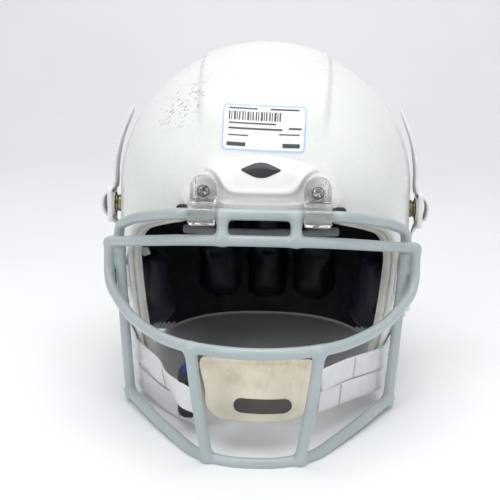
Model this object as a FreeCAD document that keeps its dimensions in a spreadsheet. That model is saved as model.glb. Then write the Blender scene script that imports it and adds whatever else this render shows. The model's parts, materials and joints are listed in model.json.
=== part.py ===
"""Youth american football helmet, an assembly of separate pieces, in millimetres.

Everything is laid out around the centre of the shell: +X is the viewer's right, -Y is the
face side, +Z is up and z = 0 is the table that the helmet stands on.  Each sub-part's
Placement then moves it back by shell_y, so that the origin is the middle of the whole
helmet's footprint.
"""
import FreeCAD, Part
import math
import os
from FreeCAD import Placement, Rotation, Vector

DIMENSIONS = (
    ("shell_y", 38.84, "shell centre behind the middle of the footprint"),
    ("shell_half_width", 108.0, "half width of the shell at its widest level"),
    ("shell_half_length", 132.0, "half length of the shell at its widest level"),
    ("shell_rise", 102.5, "crown above the widest level"),
    ("shell_level", 142.0, "widest level above the table"),
    ("shell_wall", 4.0, "wall of the shell"),
    ("taper_width", 14.5, "how much half width the wall loses down to the table"),
    ("taper_length", 14.0, "how much half length the wall loses down to the table"),
    ("band_half_width", 43.0, "half width of the raised crown band"),
    ("band_rise", 2.0, "height of the crown band above the shell"),
    ("jaw_edge_y", -80.0, "front edge of the jaw flaps"),
    ("jaw_edge_z", 18.0, "lower edge of the jaw flaps"),
    ("brow_edge_z", 141.0, "brow edge at the front of the shell"),
    ("ear_hole_d", 34.0, "ear hole"),
    ("plate_thick", 3.6, "brow plate"),
    ("wire_d", 7.0, "coated wire of the faceguard"),
    ("hinge_y", -145.0, "straight stretch of the upper brow wire"),
    ("hinge_z", 143.0, "straight stretch of the upper brow wire"),
    ("loop_x", 35.3, "middle of a loop clip"),
    ("loop_width", 16.8, "width of a loop clip"),
    ("loop_wall", 4.0, "plastic round the wire in a loop clip"),
    ("running_gap", 0.06, "radial clearance of the wire in a loop clip"),
    ("brow_screw_z", 155.4, "brow screws"),
    ("screw_d", 4.8, "screw shank"),
    ("screw_head_d", 8.0, "screw head"),
    ("screw_head_tall", 2.4, "screw head"),
    ("nut_d", 6.4, "barrel of a T-nut"),
    ("nut_flange_d", 13.0, "flange of a T-nut"),
    ("side_clip_z", 86.0, "middle of a side clip"),
    ("side_clip_tall", 16.0, "height of a side clip"),
    ("anchor_x", 98.4, "rear leg of an anchor wire"),
    ("anchor_y", -74.0, "rear leg of an anchor wire"),
    ("side_screw_y", -62.0, "side clip screw"),
    ("high_snap_y", -30.0, "high snap"),
    ("high_snap_z", 129.0, "high snap"),
    ("low_snap_y", 6.0, "low snap"),
    ("low_snap_z", 50.0, "low snap"),
    ("stud_d", 12.6, "foot of a snap stud"),
    ("stud_foot_tall", 3.6, "foot of a snap stud"),
    ("stud_head_d", 8.4, "head of a snap stud"),
    ("stud_head_tall", 4.0, "head of a snap stud"),
    ("socket_d", 13.6, "snap socket"),
    ("socket_tall", 5.0, "snap socket"),
    ("buckle_width", 23.0, "snap buckle across the strap"),
    ("buckle_tall", 27.0, "snap buckle along the strap"),
    ("buckle_thick", 3.6, "snap buckle"),
    ("strap_width", 14.6, "webbing"),
    ("strap_thick", 1.6, "webbing"),
    ("pad_gap", 0.3, "room between the shell and a pad"),
    ("cup_half_width", 39.0, "chin cup"),
    ("cup_depth", 30.0, "chin cup, front to back"),
    ("cup_y", -146.0, "rear rim of the chin cup"),
    ("cup_z", 38.0, "middle of the chin cup"),
    ("cup_wall", 2.6, "hard shell of the chin cup"),
    ("cup_pad_thick", 8.0, "foam of the chin cup"),
)

doc = FreeCAD.newDocument("football_helmet")
sheet = doc.addObject("Spreadsheet::Sheet", "Sheet")
for row, (alias, value, meaning) in enumerate(DIMENSIONS, start=1):
    sheet.set(f"A{row}", alias)
    sheet.set(f"B{row}", str(value))
    sheet.set(f"C{row}", meaning)
    sheet.setAlias(f"B{row}", alias)
doc.recompute()

X, Y, Z = Vector(1, 0, 0), Vector(0, 1, 0), Vector(0, 0, 1)
SIDES = (("left", -1), ("right", 1))
FAR = 400.0                                     # longer than the helmet, for cutters
NODES = []


def dim(alias):
    """The value of one driving dimension."""
    return float(sheet.get(alias))


def node(obj, label):
    """Make obj a sub-part: its own label, and the Placement that all sub-parts share."""
    obj.Label = label
    obj.setExpression("Placement.Base.y", "Sheet.shell_y")
    NODES.append(obj)
    return obj


def plain(name, shape):
    """A document object that holds a shape made with Part's own functions."""
    obj = doc.addObject("Part::Feature", name)
    obj.Shape = shape
    return obj


def shaped(label, shape):
    """A sub-part whose shape is made with Part's own functions."""
    return node(plain(label, shape), label)


def cylinder(name, radius, tall, base, axis):
    """A Part cylinder: radius and height are expressions, base is the middle of its foot."""
    obj = doc.addObject("Part::Cylinder", name)
    obj.setExpression("Radius", radius)
    obj.setExpression("Height", tall)
    obj.Placement = Placement(base, Rotation(Z, axis))
    return obj


def fused(name, parts):
    obj = doc.addObject("Part::MultiFuse", name)
    obj.Shapes = parts
    return obj


def cut(name, base, tool):
    obj = doc.addObject("Part::Cut", name)
    obj.Base, obj.Tool = base, tool
    return obj


def common(name, base, tool):
    obj = doc.addObject("Part::Common", name)
    obj.Base, obj.Tool = base, tool
    return obj


def group(name, parts):
    obj = doc.addObject("Part::Compound", name)
    obj.Links = parts
    return obj


# ---------------------------------------------------------------- the shell's surface

def mirrored_power(value, power):
    return math.copysign(abs(value) ** power, value)


def section(level):
    """Half width, half length and squareness of the shell at a height below its widest level."""
    drop = (dim("shell_level") - level) / dim("shell_level")
    a = dim("shell_half_width") - dim("taper_width") * drop ** 2.2
    b = dim("shell_half_length") - dim("taper_length") * drop ** 2.2
    squareness = 2.08 + 0.32 * min(1.0, drop * 3.5)
    return a, b, squareness


def ring(a, b, squareness, level):
    """One closed smooth outline round the head."""
    points = []
    for step in range(36):
        turn = math.radians(10 * step)
        points.append(Vector(a * mirrored_power(math.cos(turn), 2 / squareness),
                             b * mirrored_power(math.sin(turn), 2 / squareness), level))
    curve = Part.BSplineCurve()
    curve.interpolate(Points=points, PeriodicFlag=True)
    return Part.Wire(curve.toShape())


DOMES = {}


def dome(offset):
    """The solid inside the shell's outer surface moved outwards by offset."""
    if offset not in DOMES:
        rings = []
        for level in (-8, 25, 60, 95, 122):
            a, b, squareness = section(max(level, 0))
            rings.append(ring(a + offset, b + offset, squareness, level))
        for lift in (0, 14, 28, 42, 55, 66, 76, 83):
            turn = math.radians(lift)
            rings.append(ring((dim("shell_half_width") + offset) * math.cos(turn),
                              (dim("shell_half_length") + offset) * math.cos(turn), 2.08,
                              dim("shell_level") + (dim("shell_rise") + offset) * math.sin(turn)))
        DOMES[offset] = Part.makeLoft(rings, True, False)
    return DOMES[offset]


def surface_x(y, level, offset=0.0):
    """Half width of the shell's surface at a place along its length, below the widest level."""
    a, b, squareness = section(level)
    return (a + offset) * (1 - abs(y / (b + offset)) ** squareness) ** (1 / squareness)


def layer(outer, inner):
    """The skin between two offsets of the shell's surface."""
    return dome(outer).cut(dome(inner))


# ---------------------------------------------------------------- outlines and paths

def rounded_edges(corners, closed):
    """Lines and tangent arcs through corners, each a (Vector, radius) pair."""
    count = len(corners)
    ends = []
    for index, (point, radius) in enumerate(corners):
        is_end = not closed and index in (0, count - 1)
        if is_end or radius == 0:
            ends.append((point, None, point))
            continue
        before = (corners[index - 1][0] - point).normalize()
        after = (corners[(index + 1) % count][0] - point).normalize()
        half = before.getAngle(after) / 2
        reach = radius / math.tan(half)
        middle = point + (before + after).normalize() * (radius / math.sin(half) - radius)
        ends.append((point + before * reach, middle, point + after * reach))
    edges = []
    for index in range(count):
        start, middle, end = ends[index]
        if middle is not None:
            edges.append(Part.Arc(start, middle, end).toShape())
        if index + 1 < count or closed:
            following = ends[(index + 1) % count][0]
            if end.distanceToPoint(following) > 1e-6:
                edges.append(Part.LineSegment(end, following).toShape())
    return edges


def prism(corners, place, along, length):
    """A solid whose outline has corners (u, v, radius); place turns u, v into a point."""
    edges = rounded_edges([(place(u, v), radius) for u, v, radius in corners], True)
    return Part.Face(Part.Wire(edges)).extrude(along * length)


def front_prism(corners, y_from, y_to):
    """An outline seen from the front, u = x and v = z."""
    return prism(corners, lambda u, v: Vector(u, y_from, v), Y, y_to - y_from)


def side_prism(corners, x_from, x_to):
    """An outline seen from the side, u = y and v = z."""
    return prism(corners, lambda u, v: Vector(x_from, u, v), X, x_to - x_from)


def plan_prism(corners, z_from, z_to):
    """An outline seen from above, u = x and v = y."""
    return prism(corners, lambda u, v: Vector(u, v, z_from), Z, z_to - z_from)


def block(x_from, x_to, y_from, y_to, z_from, z_to):
    size = (x_to - x_from, y_to - y_from, z_to - z_from)
    return Part.makeBox(*size, Vector(x_from, y_from, z_from))


def rod(radius, start, axis, length):
    return Part.makeCylinder(radius, length, start, axis)


def both_sides(points):
    """A route that starts on the left, from its right half given from the middle outwards."""
    left = [Vector(-p.x, p.y, p.z) for p in reversed(points) if p.x > 0]
    return left + points


def bent_wire(name, points, bends=None):
    """A coated wire along straight runs and tangent arcs; bends overrides the arcs' radii."""
    corners = []
    for index, point in enumerate(points):
        radius = 0
        if 0 < index < len(points) - 1:
            back, ahead = points[index - 1] - point, points[index + 1] - point
            half_turn = (math.pi - back.getAngle(ahead)) / 2
            radius = 0.45 * min(back.Length, ahead.Length) / math.tan(half_turn)
            if bends:
                radius = min(radius, bends)
        corners.append((point, radius))
    path = plain(name + "_path", Part.Wire(rounded_edges(corners, False)))
    circle = doc.addObject("Part::Circle", name + "_section")
    circle.setExpression("Radius", "Sheet.wire_d / 2")
    circle.Placement = Placement(points[0], Rotation(Z, points[1] - points[0]))
    sweep = doc.addObject("Part::Sweep", name)
    sweep.Sections = [circle]
    sweep.Spine = (path, [f"Edge{k + 1}" for k in range(len(path.Shape.Edges))])
    sweep.Solid = True
    return sweep


# ---------------------------------------------------------------- shell and its trim

def opening_cutter():
    """Everything in front of the face opening's edge and below the lower rim, from the side."""
    jaw_y, jaw_z, brow_z = dim("jaw_edge_y"), dim("jaw_edge_z"), dim("brow_edge_z")
    slope = 0.43
    front = -dim("shell_half_length")
    far_brow = brow_z + slope * (front + FAR) * 0.5
    return side_prism([
        (front - (front + FAR) * 0.5, far_brow, 0),
        (jaw_y, brow_z - slope * (jaw_y - front), 26),
        (jaw_y, jaw_z, 20),
        (15, jaw_z, 40),
        (74, 0, 40),
        (FAR, 0, 0),
        (FAR, -60, 0),
        (front - (front + FAR) * 0.5, -60, 0),
    ], -FAR, FAR)


def build_shell():
    outer = dome(0.0)
    band_half = dim("band_half_width")
    band = dome(dim("band_rise")).common(block(-band_half, band_half, -FAR, 120, 178, 260))
    body = outer.fuse(band).cut(dome(-dim("shell_wall")))
    body = body.cut(opening_cutter())
    ear = dim("ear_hole_d") / 2
    holes = [side_prism([(8 - ear, 98 - 1.2 * ear, 15), (8 + ear, 98 - 1.2 * ear, 15),
                         (8 + ear, 98 + 1.2 * ear, 15), (8 - ear, 98 + 1.2 * ear, 15)], -FAR, FAR)]
    for side in (-1, 1):
        for z in (150, 172):
            slot = front_prism([(side * 36 - 15, z - 4.5, 4.4), (side * 36 + 15, z - 4.5, 4.4),
                                (side * 36 + 15, z + 4.5, 4.4), (side * 36 - 15, z + 4.5, 4.4)], 40, FAR)
            holes.append(slot)
    return body.cut(Part.Compound(holes + fastener_holes()))


def fastener_holes():
    """Clearance holes for T-nut barrels and stud shanks through shell and brow plate."""
    radius = dim("nut_d") / 2 + 0.1
    holes = []
    for side in (-1, 1):
        holes.append(rod(radius, Vector(side * dim("loop_x"), -150, dim("brow_screw_z")), Y, 60))
        holes.append(rod(radius, Vector(side * 60, dim("side_screw_y"), dim("side_clip_z")), X * side, 60))
        holes.append(rod(dim("screw_d") / 2 + 0.1, Vector(side * 60, dim("high_snap_y"),
                                                          dim("high_snap_z")), X * side, 60))
        holes.append(rod(dim("screw_d") / 2 + 0.1, Vector(side * 60, dim("low_snap_y"),
                                                          dim("low_snap_z")), X * side, 60))
    return holes


shell = shaped("shell", build_shell())

plate_outline = [(-49, 143.5, 5), (49, 143.5, 5), (49, 152, 6), (30, 171, 30), (0, 176.5, 60),
                 (-30, 171, 30), (-49, 152, 6)]
plate_shape = layer(dim("plate_thick"), 0.0).common(front_prism(plate_outline, -FAR, -60))
brow_plate = shaped("brow_plate", plate_shape.cut(Part.Compound(fastener_holes())))
seal_outline = [(-52, 139.5, 1.5), (52, 139.5, 1.5), (52, 143.3, 1.5), (-52, 143.3, 1.5)]
shaped("brow_seal", layer(2.6, 0.0).common(front_prism(seal_outline, -FAR, -60)))
badge_outline = [(-12, 167, 0.8), (0, 161, 14), (12, 167, 0.8), (0, 173, 14)]
shaped("brow_badge", layer(dim("plate_thick") + 0.5, dim("plate_thick"))
       .common(front_prism(badge_outline, -FAR, -60)))
label_outline = [(-26, 179, 2.5), (28, 179, 2.5), (28, 205.5, 2.5), (-26, 205.5, 2.5)]
shaped("price_label", layer(dim("band_rise") + 0.4, dim("band_rise"))
       .common(front_prism(label_outline, -FAR, -60)))

bumper_outline = [(-46, 1, 3), (46, 1, 3), (46, 30, 10), (-46, 30, 10)]
shaped("rear_bumper", layer(3.0, 0.0).common(front_prism(bumper_outline, 60, FAR)))

# ---------------------------------------------------------------- faceguard, one wire at a time

hinge_y, hinge_z = dim("hinge_y"), dim("hinge_z")
wire_r = dim("wire_d") / 2

upper_wire = bent_wire("upper_wire", both_sides([
    Vector(48.2, hinge_y, hinge_z), Vector(56.5, -140.6, 141.8), Vector(68, -129.5, 138.5),
    Vector(83, -110.5, 133), Vector(96.2, -92.5, 124.5), Vector(95.4, -93, 108)]))
lower_wire = bent_wire("lower_wire", both_sides([
    Vector(40, -149, 127.6), Vector(72, -126.5, 121.6), Vector(102, -94.5, 113.6)]))
SIDE_WIRE = [Vector(95.4, -93, 108), Vector(93.4, -96.5, 79), Vector(91, -100, 45), Vector(88.2, -101, 8.2)]
MID_WIRE = [Vector(0, -211, 76), Vector(46, -191, 74), Vector(81, -139, 73.5), Vector(102.4, -98.5, 86),
            Vector(102.3, -94.8, 112)]
BOTTOM_WIRE = [Vector(14, -193.5, wire_r), Vector(35, -183.5, wire_r + 0.3), Vector(63, -143, 6.5),
               Vector(90.5, -96, 9)]
mid_wire = bent_wire("mid_wire", both_sides(MID_WIRE))
bottom_wire = bent_wire("bottom_wire", both_sides(BOTTOM_WIRE))

def mirrored(points, side):
    return [Vector(side * p.x, p.y, p.z) for p in points]


def welded(label, wire, neighbours):
    """A wire as a sub-part, cut back from the wires that it is welded to."""
    for neighbour in neighbours:
        wire = cut(f"{label}_from_{neighbour.Name}", wire, neighbour)
    return node(wire if neighbours else group(label, [wire]), label)


welded("upper_brow_wire", upper_wire, [lower_wire])
welded("lower_brow_wire", lower_wire, [])
welded("mid_bar", mid_wire, [lower_wire])
welded("bottom_bar", bottom_wire, [])
for name, side in SIDES:
    side_wire = bent_wire("side_wire_" + name, mirrored(SIDE_WIRE, side))
    welded("side_bar_" + name, side_wire, [upper_wire, lower_wire, mid_wire, bottom_wire])

    brow_strut = bent_wire("brow_strut_wire_" + name, mirrored(
        [Vector(22.4, hinge_y - 1, hinge_z), Vector(22.4, -149.7, 127)], side))
    welded("brow_strut_" + name, brow_strut, [upper_wire, lower_wire])

    front_strut = bent_wire("front_strut_wire_" + name, mirrored(
        [Vector(36.8, -194, 73), Vector(33.4, -193.5, 42), Vector(27.4, -189.5, 4.5)], side))
    welded("front_strut_" + name, front_strut, [mid_wire, bottom_wire])

    anchor_x, anchor_y = dim("anchor_x"), dim("anchor_y")
    reach = 14
    low, high = dim("side_clip_z") - reach, dim("side_clip_z") + reach
    anchor = bent_wire("anchor_wire_raw_" + name, mirrored(
        [Vector(93.2, -97, low), Vector(anchor_x, anchor_y, low), Vector(anchor_x, anchor_y, high),
         Vector(95, -94, high)], side), bends=7)
    welded("anchor_wire_" + name, anchor, [side_wire, mid_wire])

# ---------------------------------------------------------------- clips and fasteners

def loop_clip_shape(side):
    """A clear strap that wraps the upper brow wire and lies on the brow plate."""
    middle = side * dim("loop_x")
    half = dim("loop_width") / 2
    outer = wire_r + dim("loop_wall")
    front = hinge_y - outer
    profile = [(front, hinge_z - outer, outer), (hinge_y + outer, hinge_z - outer, outer),
               (-118, 148, 0), (-118, 165.5, 0), (-129.5, 165.5, 3), (-135.5, 161, 5), (-136, 152, 3),
               (hinge_y + 1, hinge_z + outer, 6), (front, hinge_z + outer, outer)]
    strap = side_prism(profile, middle - half, middle + half)
    bore = rod(wire_r + dim("running_gap"), Vector(-FAR, hinge_y, hinge_z), X, 2 * FAR)
    screw_hole = rod(dim("screw_d") / 2 + 0.1, Vector(middle, -FAR, dim("brow_screw_z")), Y, FAR)
    seat = rod(dim("screw_head_d") / 2 + 0.6, Vector(middle, -150, dim("brow_screw_z")), Y, 15.5)
    return strap.cut(dome(dim("plate_thick"))).cut(Part.Compound([bore, screw_hole, seat]))


SIDE_SEAT_X = 103.4                             # under the head of a side clip's screw


def side_clip_shape(side):
    """A block on the jaw flap whose channel is open to the front and holds the anchor wire."""
    half = dim("side_clip_tall") / 2
    middle = dim("side_clip_z")
    anchor_x, anchor_y = dim("anchor_x"), dim("anchor_y")
    outline = [(85, -79, 0), (105.4, -79, 1.5), (105.4, -68, 3), (102.2, -55, 3), (85, -52, 0)]
    body = plan_prism([(side * u, v, r) for u, v, r in outline], middle - half, middle + half)
    slot = wire_r + 0.35
    channel = block(min(side * (anchor_x - slot), side * (anchor_x + slot)),
                    max(side * (anchor_x - slot), side * (anchor_x + slot)), -FAR, anchor_y, 0, FAR)
    channel = channel.fuse(rod(slot, Vector(side * anchor_x, anchor_y, 0), Z, FAR))
    screw_hole = rod(dim("screw_d") / 2 + 0.1, Vector(side * 60, dim("side_screw_y"), middle), X * side, 60)
    seat = rod(dim("screw_head_d") / 2 + 0.6, Vector(side * SIDE_SEAT_X, dim("side_screw_y"), middle), X * side, 10)
    return body.cut(dome(0.0)).cut(channel).cut(screw_hole.fuse(seat))


for name, side in SIDES:
    shaped("loop_clip_" + name, loop_clip_shape(side))
for name, side in SIDES:
    shaped("side_clip_" + name, side_clip_shape(side))


def cross_screw(name, seat, axis, length):
    """A pan head screw with a cross recess; seat is under its head, axis points into the work."""
    out = axis * -1
    head = cylinder(name + "_head", "Sheet.screw_head_d / 2", "Sheet.screw_head_tall", seat, out)
    shank = cylinder(name + "_shank", "Sheet.screw_d / 2", f"{length}", seat - axis * 0.2, axis)
    whole = fused(name + "_blank", [head, shank])
    recess_middle = seat + out * (dim("screw_head_tall") - 0.7)
    bars = []
    across = Z if abs(axis.z) < 0.5 else X
    for bar, run in enumerate((across, axis.cross(across))):
        box = doc.addObject("Part::Box", f"{name}_recess_{bar}")
        box.Length, box.Width, box.Height = 4.6, 1.1, 3.0
        turn = Rotation(run, axis.cross(run), out, "XZY")
        box.Placement = Placement(recess_middle - turn.multVec(Vector(2.3, 0.55, 0)), turn)
        bars.append(box)
    return cut(name, whole, fused(name + "_recess", bars))


def tee_nut(name, flange_face, axis, length):
    """A T-nut behind the shell: axis points to the screw, flange_face is its flange's front."""
    flange = cylinder(name + "_flange", "Sheet.nut_flange_d / 2", "1.4", flange_face - axis * 1.4, axis)
    barrel = cylinder(name + "_barrel", "Sheet.nut_d / 2", f"{length + 1.4}", flange_face - axis * 1.4, axis)
    bore = cylinder(name + "_bore", "Sheet.screw_d / 2", f"{length + 3}", flange_face - axis * 2, axis)
    return cut(name, fused(name + "_blank", [flange, barrel]), bore)


brow_screws, brow_nuts, side_screws, side_nuts = [], [], [], []
for name, side in SIDES:
    seat = Vector(side * dim("loop_x"), -134.5, dim("brow_screw_z"))
    brow_screws.append(cross_screw("brow_screw_" + name, seat, Y, 20))
    brow_nuts.append(tee_nut("brow_nut_" + name, Vector(seat.x, -115.4, seat.z), Y * -1, 8.0))
    seat = Vector(side * SIDE_SEAT_X, dim("side_screw_y"), dim("side_clip_z"))
    side_screws.append(cross_screw("side_screw_" + name, seat, X * -side, 16.8))
    side_nuts.append(tee_nut("side_nut_" + name, Vector(side * 90.6, seat.y, seat.z), X * side, 6.0))
node(group("loop_clip_screws", brow_screws), "loop_clip_screws")
node(group("loop_clip_nuts", brow_nuts), "loop_clip_nuts")
node(group("side_clip_screws", side_screws), "side_clip_screws")
node(group("side_clip_nuts", side_nuts), "side_clip_nuts")

# ---------------------------------------------------------------- snaps

SNAPS = {"high": (dim("high_snap_y"), dim("high_snap_z")), "low": (dim("low_snap_y"), dim("low_snap_z"))}
shell_core = plain("shell_core", dome(0.0))
studs, stud_nuts = [], []
for level, (snap_y, snap_z) in SNAPS.items():
    wall_x = surface_x(snap_y, min(snap_z, dim("shell_level")))
    for name, side in SIDES:
        tag = f"{level}_{name}"
        out = X * side
        face = Vector(side * wall_x, snap_y, snap_z)
        foot_top = face + out * dim("stud_foot_tall")
        foot = cylinder("stud_foot_" + tag, "Sheet.stud_d / 2", "Sheet.stud_foot_tall + 2", face - out * 2, out)
        foot_on_shell = cut("stud_foot_on_shell_" + tag, foot, shell_core)
        head = cylinder("stud_head_" + tag, "Sheet.stud_head_d / 2", "Sheet.stud_head_tall", foot_top, out)
        shank = cylinder("stud_shank_" + tag, "Sheet.screw_d / 2", "10", face - out * 9, out)
        groove = doc.addObject("Part::Torus", "stud_groove_" + tag)
        groove.setExpression("Radius1", "Sheet.stud_d / 2")
        groove.Radius2 = 0.5
        groove.Placement = Placement(face + out * 1.9, Rotation(Z, out))
        blank = fused("stud_blank_" + tag, [foot_on_shell, head, shank])
        studs.append(cut("stud_" + tag, blank, groove))
        stud_nuts.append(tee_nut("stud_nut_" + tag, face - out * 8.0, out, 0.5))

        socket = cylinder("socket_blank_" + tag, "Sheet.socket_d / 2", "Sheet.socket_tall", foot_top + out * 0.2, out)
        hollow = cylinder("socket_hollow_" + tag, "Sheet.stud_head_d / 2 + 0.05", "Sheet.stud_head_tall",
                          foot_top + out * 0.15, out)
        node(cut("snap_socket_" + tag, socket, hollow), "snap_socket_" + tag)
        rim_from = foot_top + out * 0.9
        half_wide, half_tall = dim("buckle_width") / 2, dim("buckle_tall") / 2
        upright = level == "high"

        def on_plate(u, v, lift=0.0):
            """A point of the buckle, whose long side stands up on a high snap and lies on a low one."""
            across, along = (u, v) if upright else (v, u)
            return Vector(rim_from.x + side * lift, snap_y + across, snap_z + along)

        plate = prism([(-half_wide, -half_tall, 5), (half_wide, -half_tall, 5),
                       (half_wide, half_tall, 5), (-half_wide, half_tall, 5)],
                      on_plate, out, dim("buckle_thick"))
        slot = dim("strap_width") / 2 + 0.4
        slots = [prism([(-slot, v - 1.3, 1.2), (slot, v - 1.3, 1.2), (slot, v + 1.3, 1.2), (-slot, v + 1.3, 1.2)],
                       lambda u, v: on_plate(u, v, -1.0), out, 9)
                 for v in (-9.9, 9.9)]
        seat = rod(dim("socket_d") / 2, rim_from - out, out, 9)
        shaped("snap_buckle_" + tag, plate.cut(Part.Compound(slots + [seat])))
node(group("snap_studs", studs), "snap_studs")
node(group("snap_stud_nuts", stud_nuts), "snap_stud_nuts")

# ---------------------------------------------------------------- pads inside the shell

pad_top = -(dim("shell_wall") + dim("pad_gap"))
pocket_r = dim("nut_flange_d") / 2 + 0.7
nut_pockets = Part.Compound(
    [rod(pocket_r, Vector(side * dim("loop_x"), -FAR, dim("brow_screw_z")), Y, FAR - 112) for side in (-1, 1)]
    + [rod(pocket_r, Vector(side * 86, dim("side_screw_y"), dim("side_clip_z")), X * side, 60) for side in (-1, 1)]
    + [rod(pocket_r, Vector(side * 94, y, z), X * side, 60) for side in (-1, 1) for y, z in SNAPS.values()])


def pad(label, outer, thick, window):
    """A pad that follows the shell from the inside, seen through a window."""
    return shaped(label, layer(outer, outer - thick).common(window).cut(nut_pockets))


pad("front_pad", pad_top, 16, front_prism(
    [(-56, 133.6, 4), (56, 133.6, 4), (50, 172, 12), (-50, 172, 12)], -FAR, -40))
pad("front_pad_band", pad_top - 0.5, 12, front_prism(
    [(-56, 121.5, 5), (56, 121.5, 5), (57, 133.3, 2), (-57, 133.3, 2)], -FAR, -60))
pad("rear_pad_centre", pad_top, 20, front_prism(
    [(-21, 18, 14), (21, 18, 14), (21, 112, 8), (-21, 112, 8)], 30, FAR))
for name, side in SIDES:
    lobe = [(22.5, 18, 16), (66, 20, 20), (66, 112, 8), (22.5, 112, 8)]
    pad("rear_pad_" + name, pad_top, 20, front_prism([(side * u, v, r) for u, v, r in lobe], 30, FAR))
    near, far = sorted((side * 40, side * FAR))
    pad("side_pad_" + name, pad_top, 15, side_prism(
        [(-44, 123, 8), (52, 123, 8), (52, 166, 10), (-44, 166, 10)], near, far))
    pad("jaw_pad_" + name, pad_top - 2.1, 30, side_prism(
        [(-73, 38, 14), (-30, 34, 14), (-24, 100, 16), (-70, 104, 14)], near, far))
    pad("jaw_pad_base_" + name, pad_top + 0.1, 2, side_prism(
        [(-76, 30, 10), (-30, 26, 10), (-24, 106, 12), (-74, 108, 12)], near, far))
pad("crown_pad", pad_top - 9.7, 12, plan_prism(
    [(-48, -58, 30), (48, -58, 30), (48, 58, 30), (-48, 58, 30)], 180, FAR))
puck_places = [Vector(0, 0, 180)] + [Vector(34 * math.cos(turn), 42 * math.sin(turn), 180)
                                     for turn in (math.radians(60 * k) for k in range(6))]
pucks = Part.Compound([rod(13, place, Z, 100) for place in puck_places])
shaped("crown_pucks", layer(pad_top + 0.1, pad_top - 9.5).common(pucks))

# ---------------------------------------------------------------- chin cup

cup_middle = Vector(0, dim("cup_y"), dim("cup_z"))


def cup_solid(name, grow):
    """The ellipsoid of the chin cup's outer face, moved outwards by grow."""
    ball = doc.addObject("Part::Ellipsoid", name)
    ball.Angle1 = -90
    ball.setExpression("Radius1", f"36 + {grow}")
    ball.setExpression("Radius2", f"Sheet.cup_half_width + 2 + {grow}")
    ball.setExpression("Radius3", f"Sheet.cup_depth + {grow}")
    ball.Placement = Placement(cup_middle, Rotation())
    return ball


def cup_layer(label, outer, inner, window):
    skin = cut(label + "_skin", cup_solid(label + "_outside", outer), cup_solid(label + "_inside", inner))
    return node(common(label, skin, plain(label + "_window", window)), label)


cup_inner = -dim("cup_wall")
cup_layer("chin_cup", 0.0, cup_inner, front_prism(
    [(-36.5, 54.5, 6), (-18, 59.5, 40), (18, 59.5, 40), (36.5, 54.5, 6), (33, 20.5, 13), (-33, 20.5, 13)], -FAR, -147))
cup_layer("chin_cup_pad", cup_inner - 0.05, cup_inner - dim("cup_pad_thick"), front_prism(
    [(-37.5, 56, 8), (-18, 61, 40), (18, 61, 40), (37.5, 56, 8), (36, 16.5, 13), (-36, 16.5, 13)], -FAR, -141))
cup_layer("chin_cup_mark", 0.5, 0.0, front_prism(
    [(-13, 27, 4.9), (22, 26, 4.9), (22, 36, 4.9), (-13, 37, 4.9)], -FAR, -150))

# ---------------------------------------------------------------- webbing

def on_shell(y, level):
    """A strap station that lies on the outside of the right jaw flap."""
    gap = dim("strap_thick") / 2 + 1.2
    slope = (surface_x(y + 1, level) - surface_x(y - 1, level)) / 2
    flare = (surface_x(y, level + 1) - surface_x(y, level - 1)) / 2
    normal = Vector(1, -slope, -flare).normalize()
    return Vector(surface_x(y, level), y, level) + normal * gap, normal


def ribbon(stations, side):
    """A webbing strap through stations, each a point and the way its face looks, on the right."""
    points = mirrored([point for point, _ in stations], side)
    faces = mirrored([face for _, face in stations], side)
    outlines = []
    for index, (point, face) in enumerate(zip(points, faces)):
        run = points[min(index + 1, len(points) - 1)] - points[max(index - 1, 0)]
        wide = run.cross(face).normalize() * (dim("strap_width") / 2)
        thick = wide.cross(run).normalize() * (dim("strap_thick") / 2)
        corners = [point - wide - thick, point + wide - thick, point + wide + thick, point - wide + thick]
        outlines.append(Part.makePolygon(corners + corners[:1]))
    return Part.makeLoft(outlines, True, True)


FACING = Vector(0.6, -0.8, 0)
OUTWARD = Vector(1, 0, 0)
HIGH_STRAP = [(Vector(40.5, -155.1, 42), Vector(0.5, -0.86, 0)), (Vector(58, -128, 40), FACING),
              (Vector(78, -100, 36.6), Vector(0.8, -0.6, 0)), (Vector(86.3, -86, 36), Vector(0.8, -0.6, 0)),
              on_shell(-74, 37.4), on_shell(-62, 45), on_shell(-50, 60), on_shell(-38, 86), on_shell(-31, 113)]
LOW_STRAP = [(Vector(38.9, -153.1, 27), Vector(0.5, -0.86, 0)), (Vector(58.5, -127, 24.6), FACING),
             (Vector(77.5, -99, 20.6), Vector(0.8, -0.6, 0)), (Vector(85.0, -86, 19.6), Vector(0.8, -0.6, 0)),
             on_shell(-73, 20.8), on_shell(-60, 25), on_shell(-44, 31), on_shell(-28, 38.5), on_shell(-9, 48)]
TAIL = [(Vector(108.8, -29, 143.5), OUTWARD), (Vector(109.2, -23, 160), OUTWARD),
        (Vector(106, -13, 178), Vector(0.95, 0, 0.3)), (Vector(99.6, -3, 196), Vector(0.9, 0, 0.45))]
for name, side in SIDES:
    shaped("strap_high_" + name, Part.Compound([ribbon(HIGH_STRAP, side), ribbon(TAIL, side)]))
    shaped("strap_low_" + name, ribbon(LOW_STRAP, side))

# ---------------------------------------------------------------- check and export

doc.recompute()
for obj in doc.Objects:
    if {"Invalid", "Error"} & set(obj.State):
        raise RuntimeError(f"{obj.Name} failed: {obj.State}")
for obj in NODES:
    if obj.Shape.isNull() or not obj.Shape.isValid() or not obj.Shape.Solids:
        raise RuntimeError(f"{obj.Label} has no valid solid")
os.makedirs("parts", exist_ok=True)
for obj in NODES:
    obj.Shape.exportStep(f"parts/{obj.Label}.step")
box = FreeCAD.BoundBox()
for obj in NODES:
    box.add(obj.Shape.optimalBoundingBox(False))
print(len(NODES), "sub-parts", box)
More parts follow.
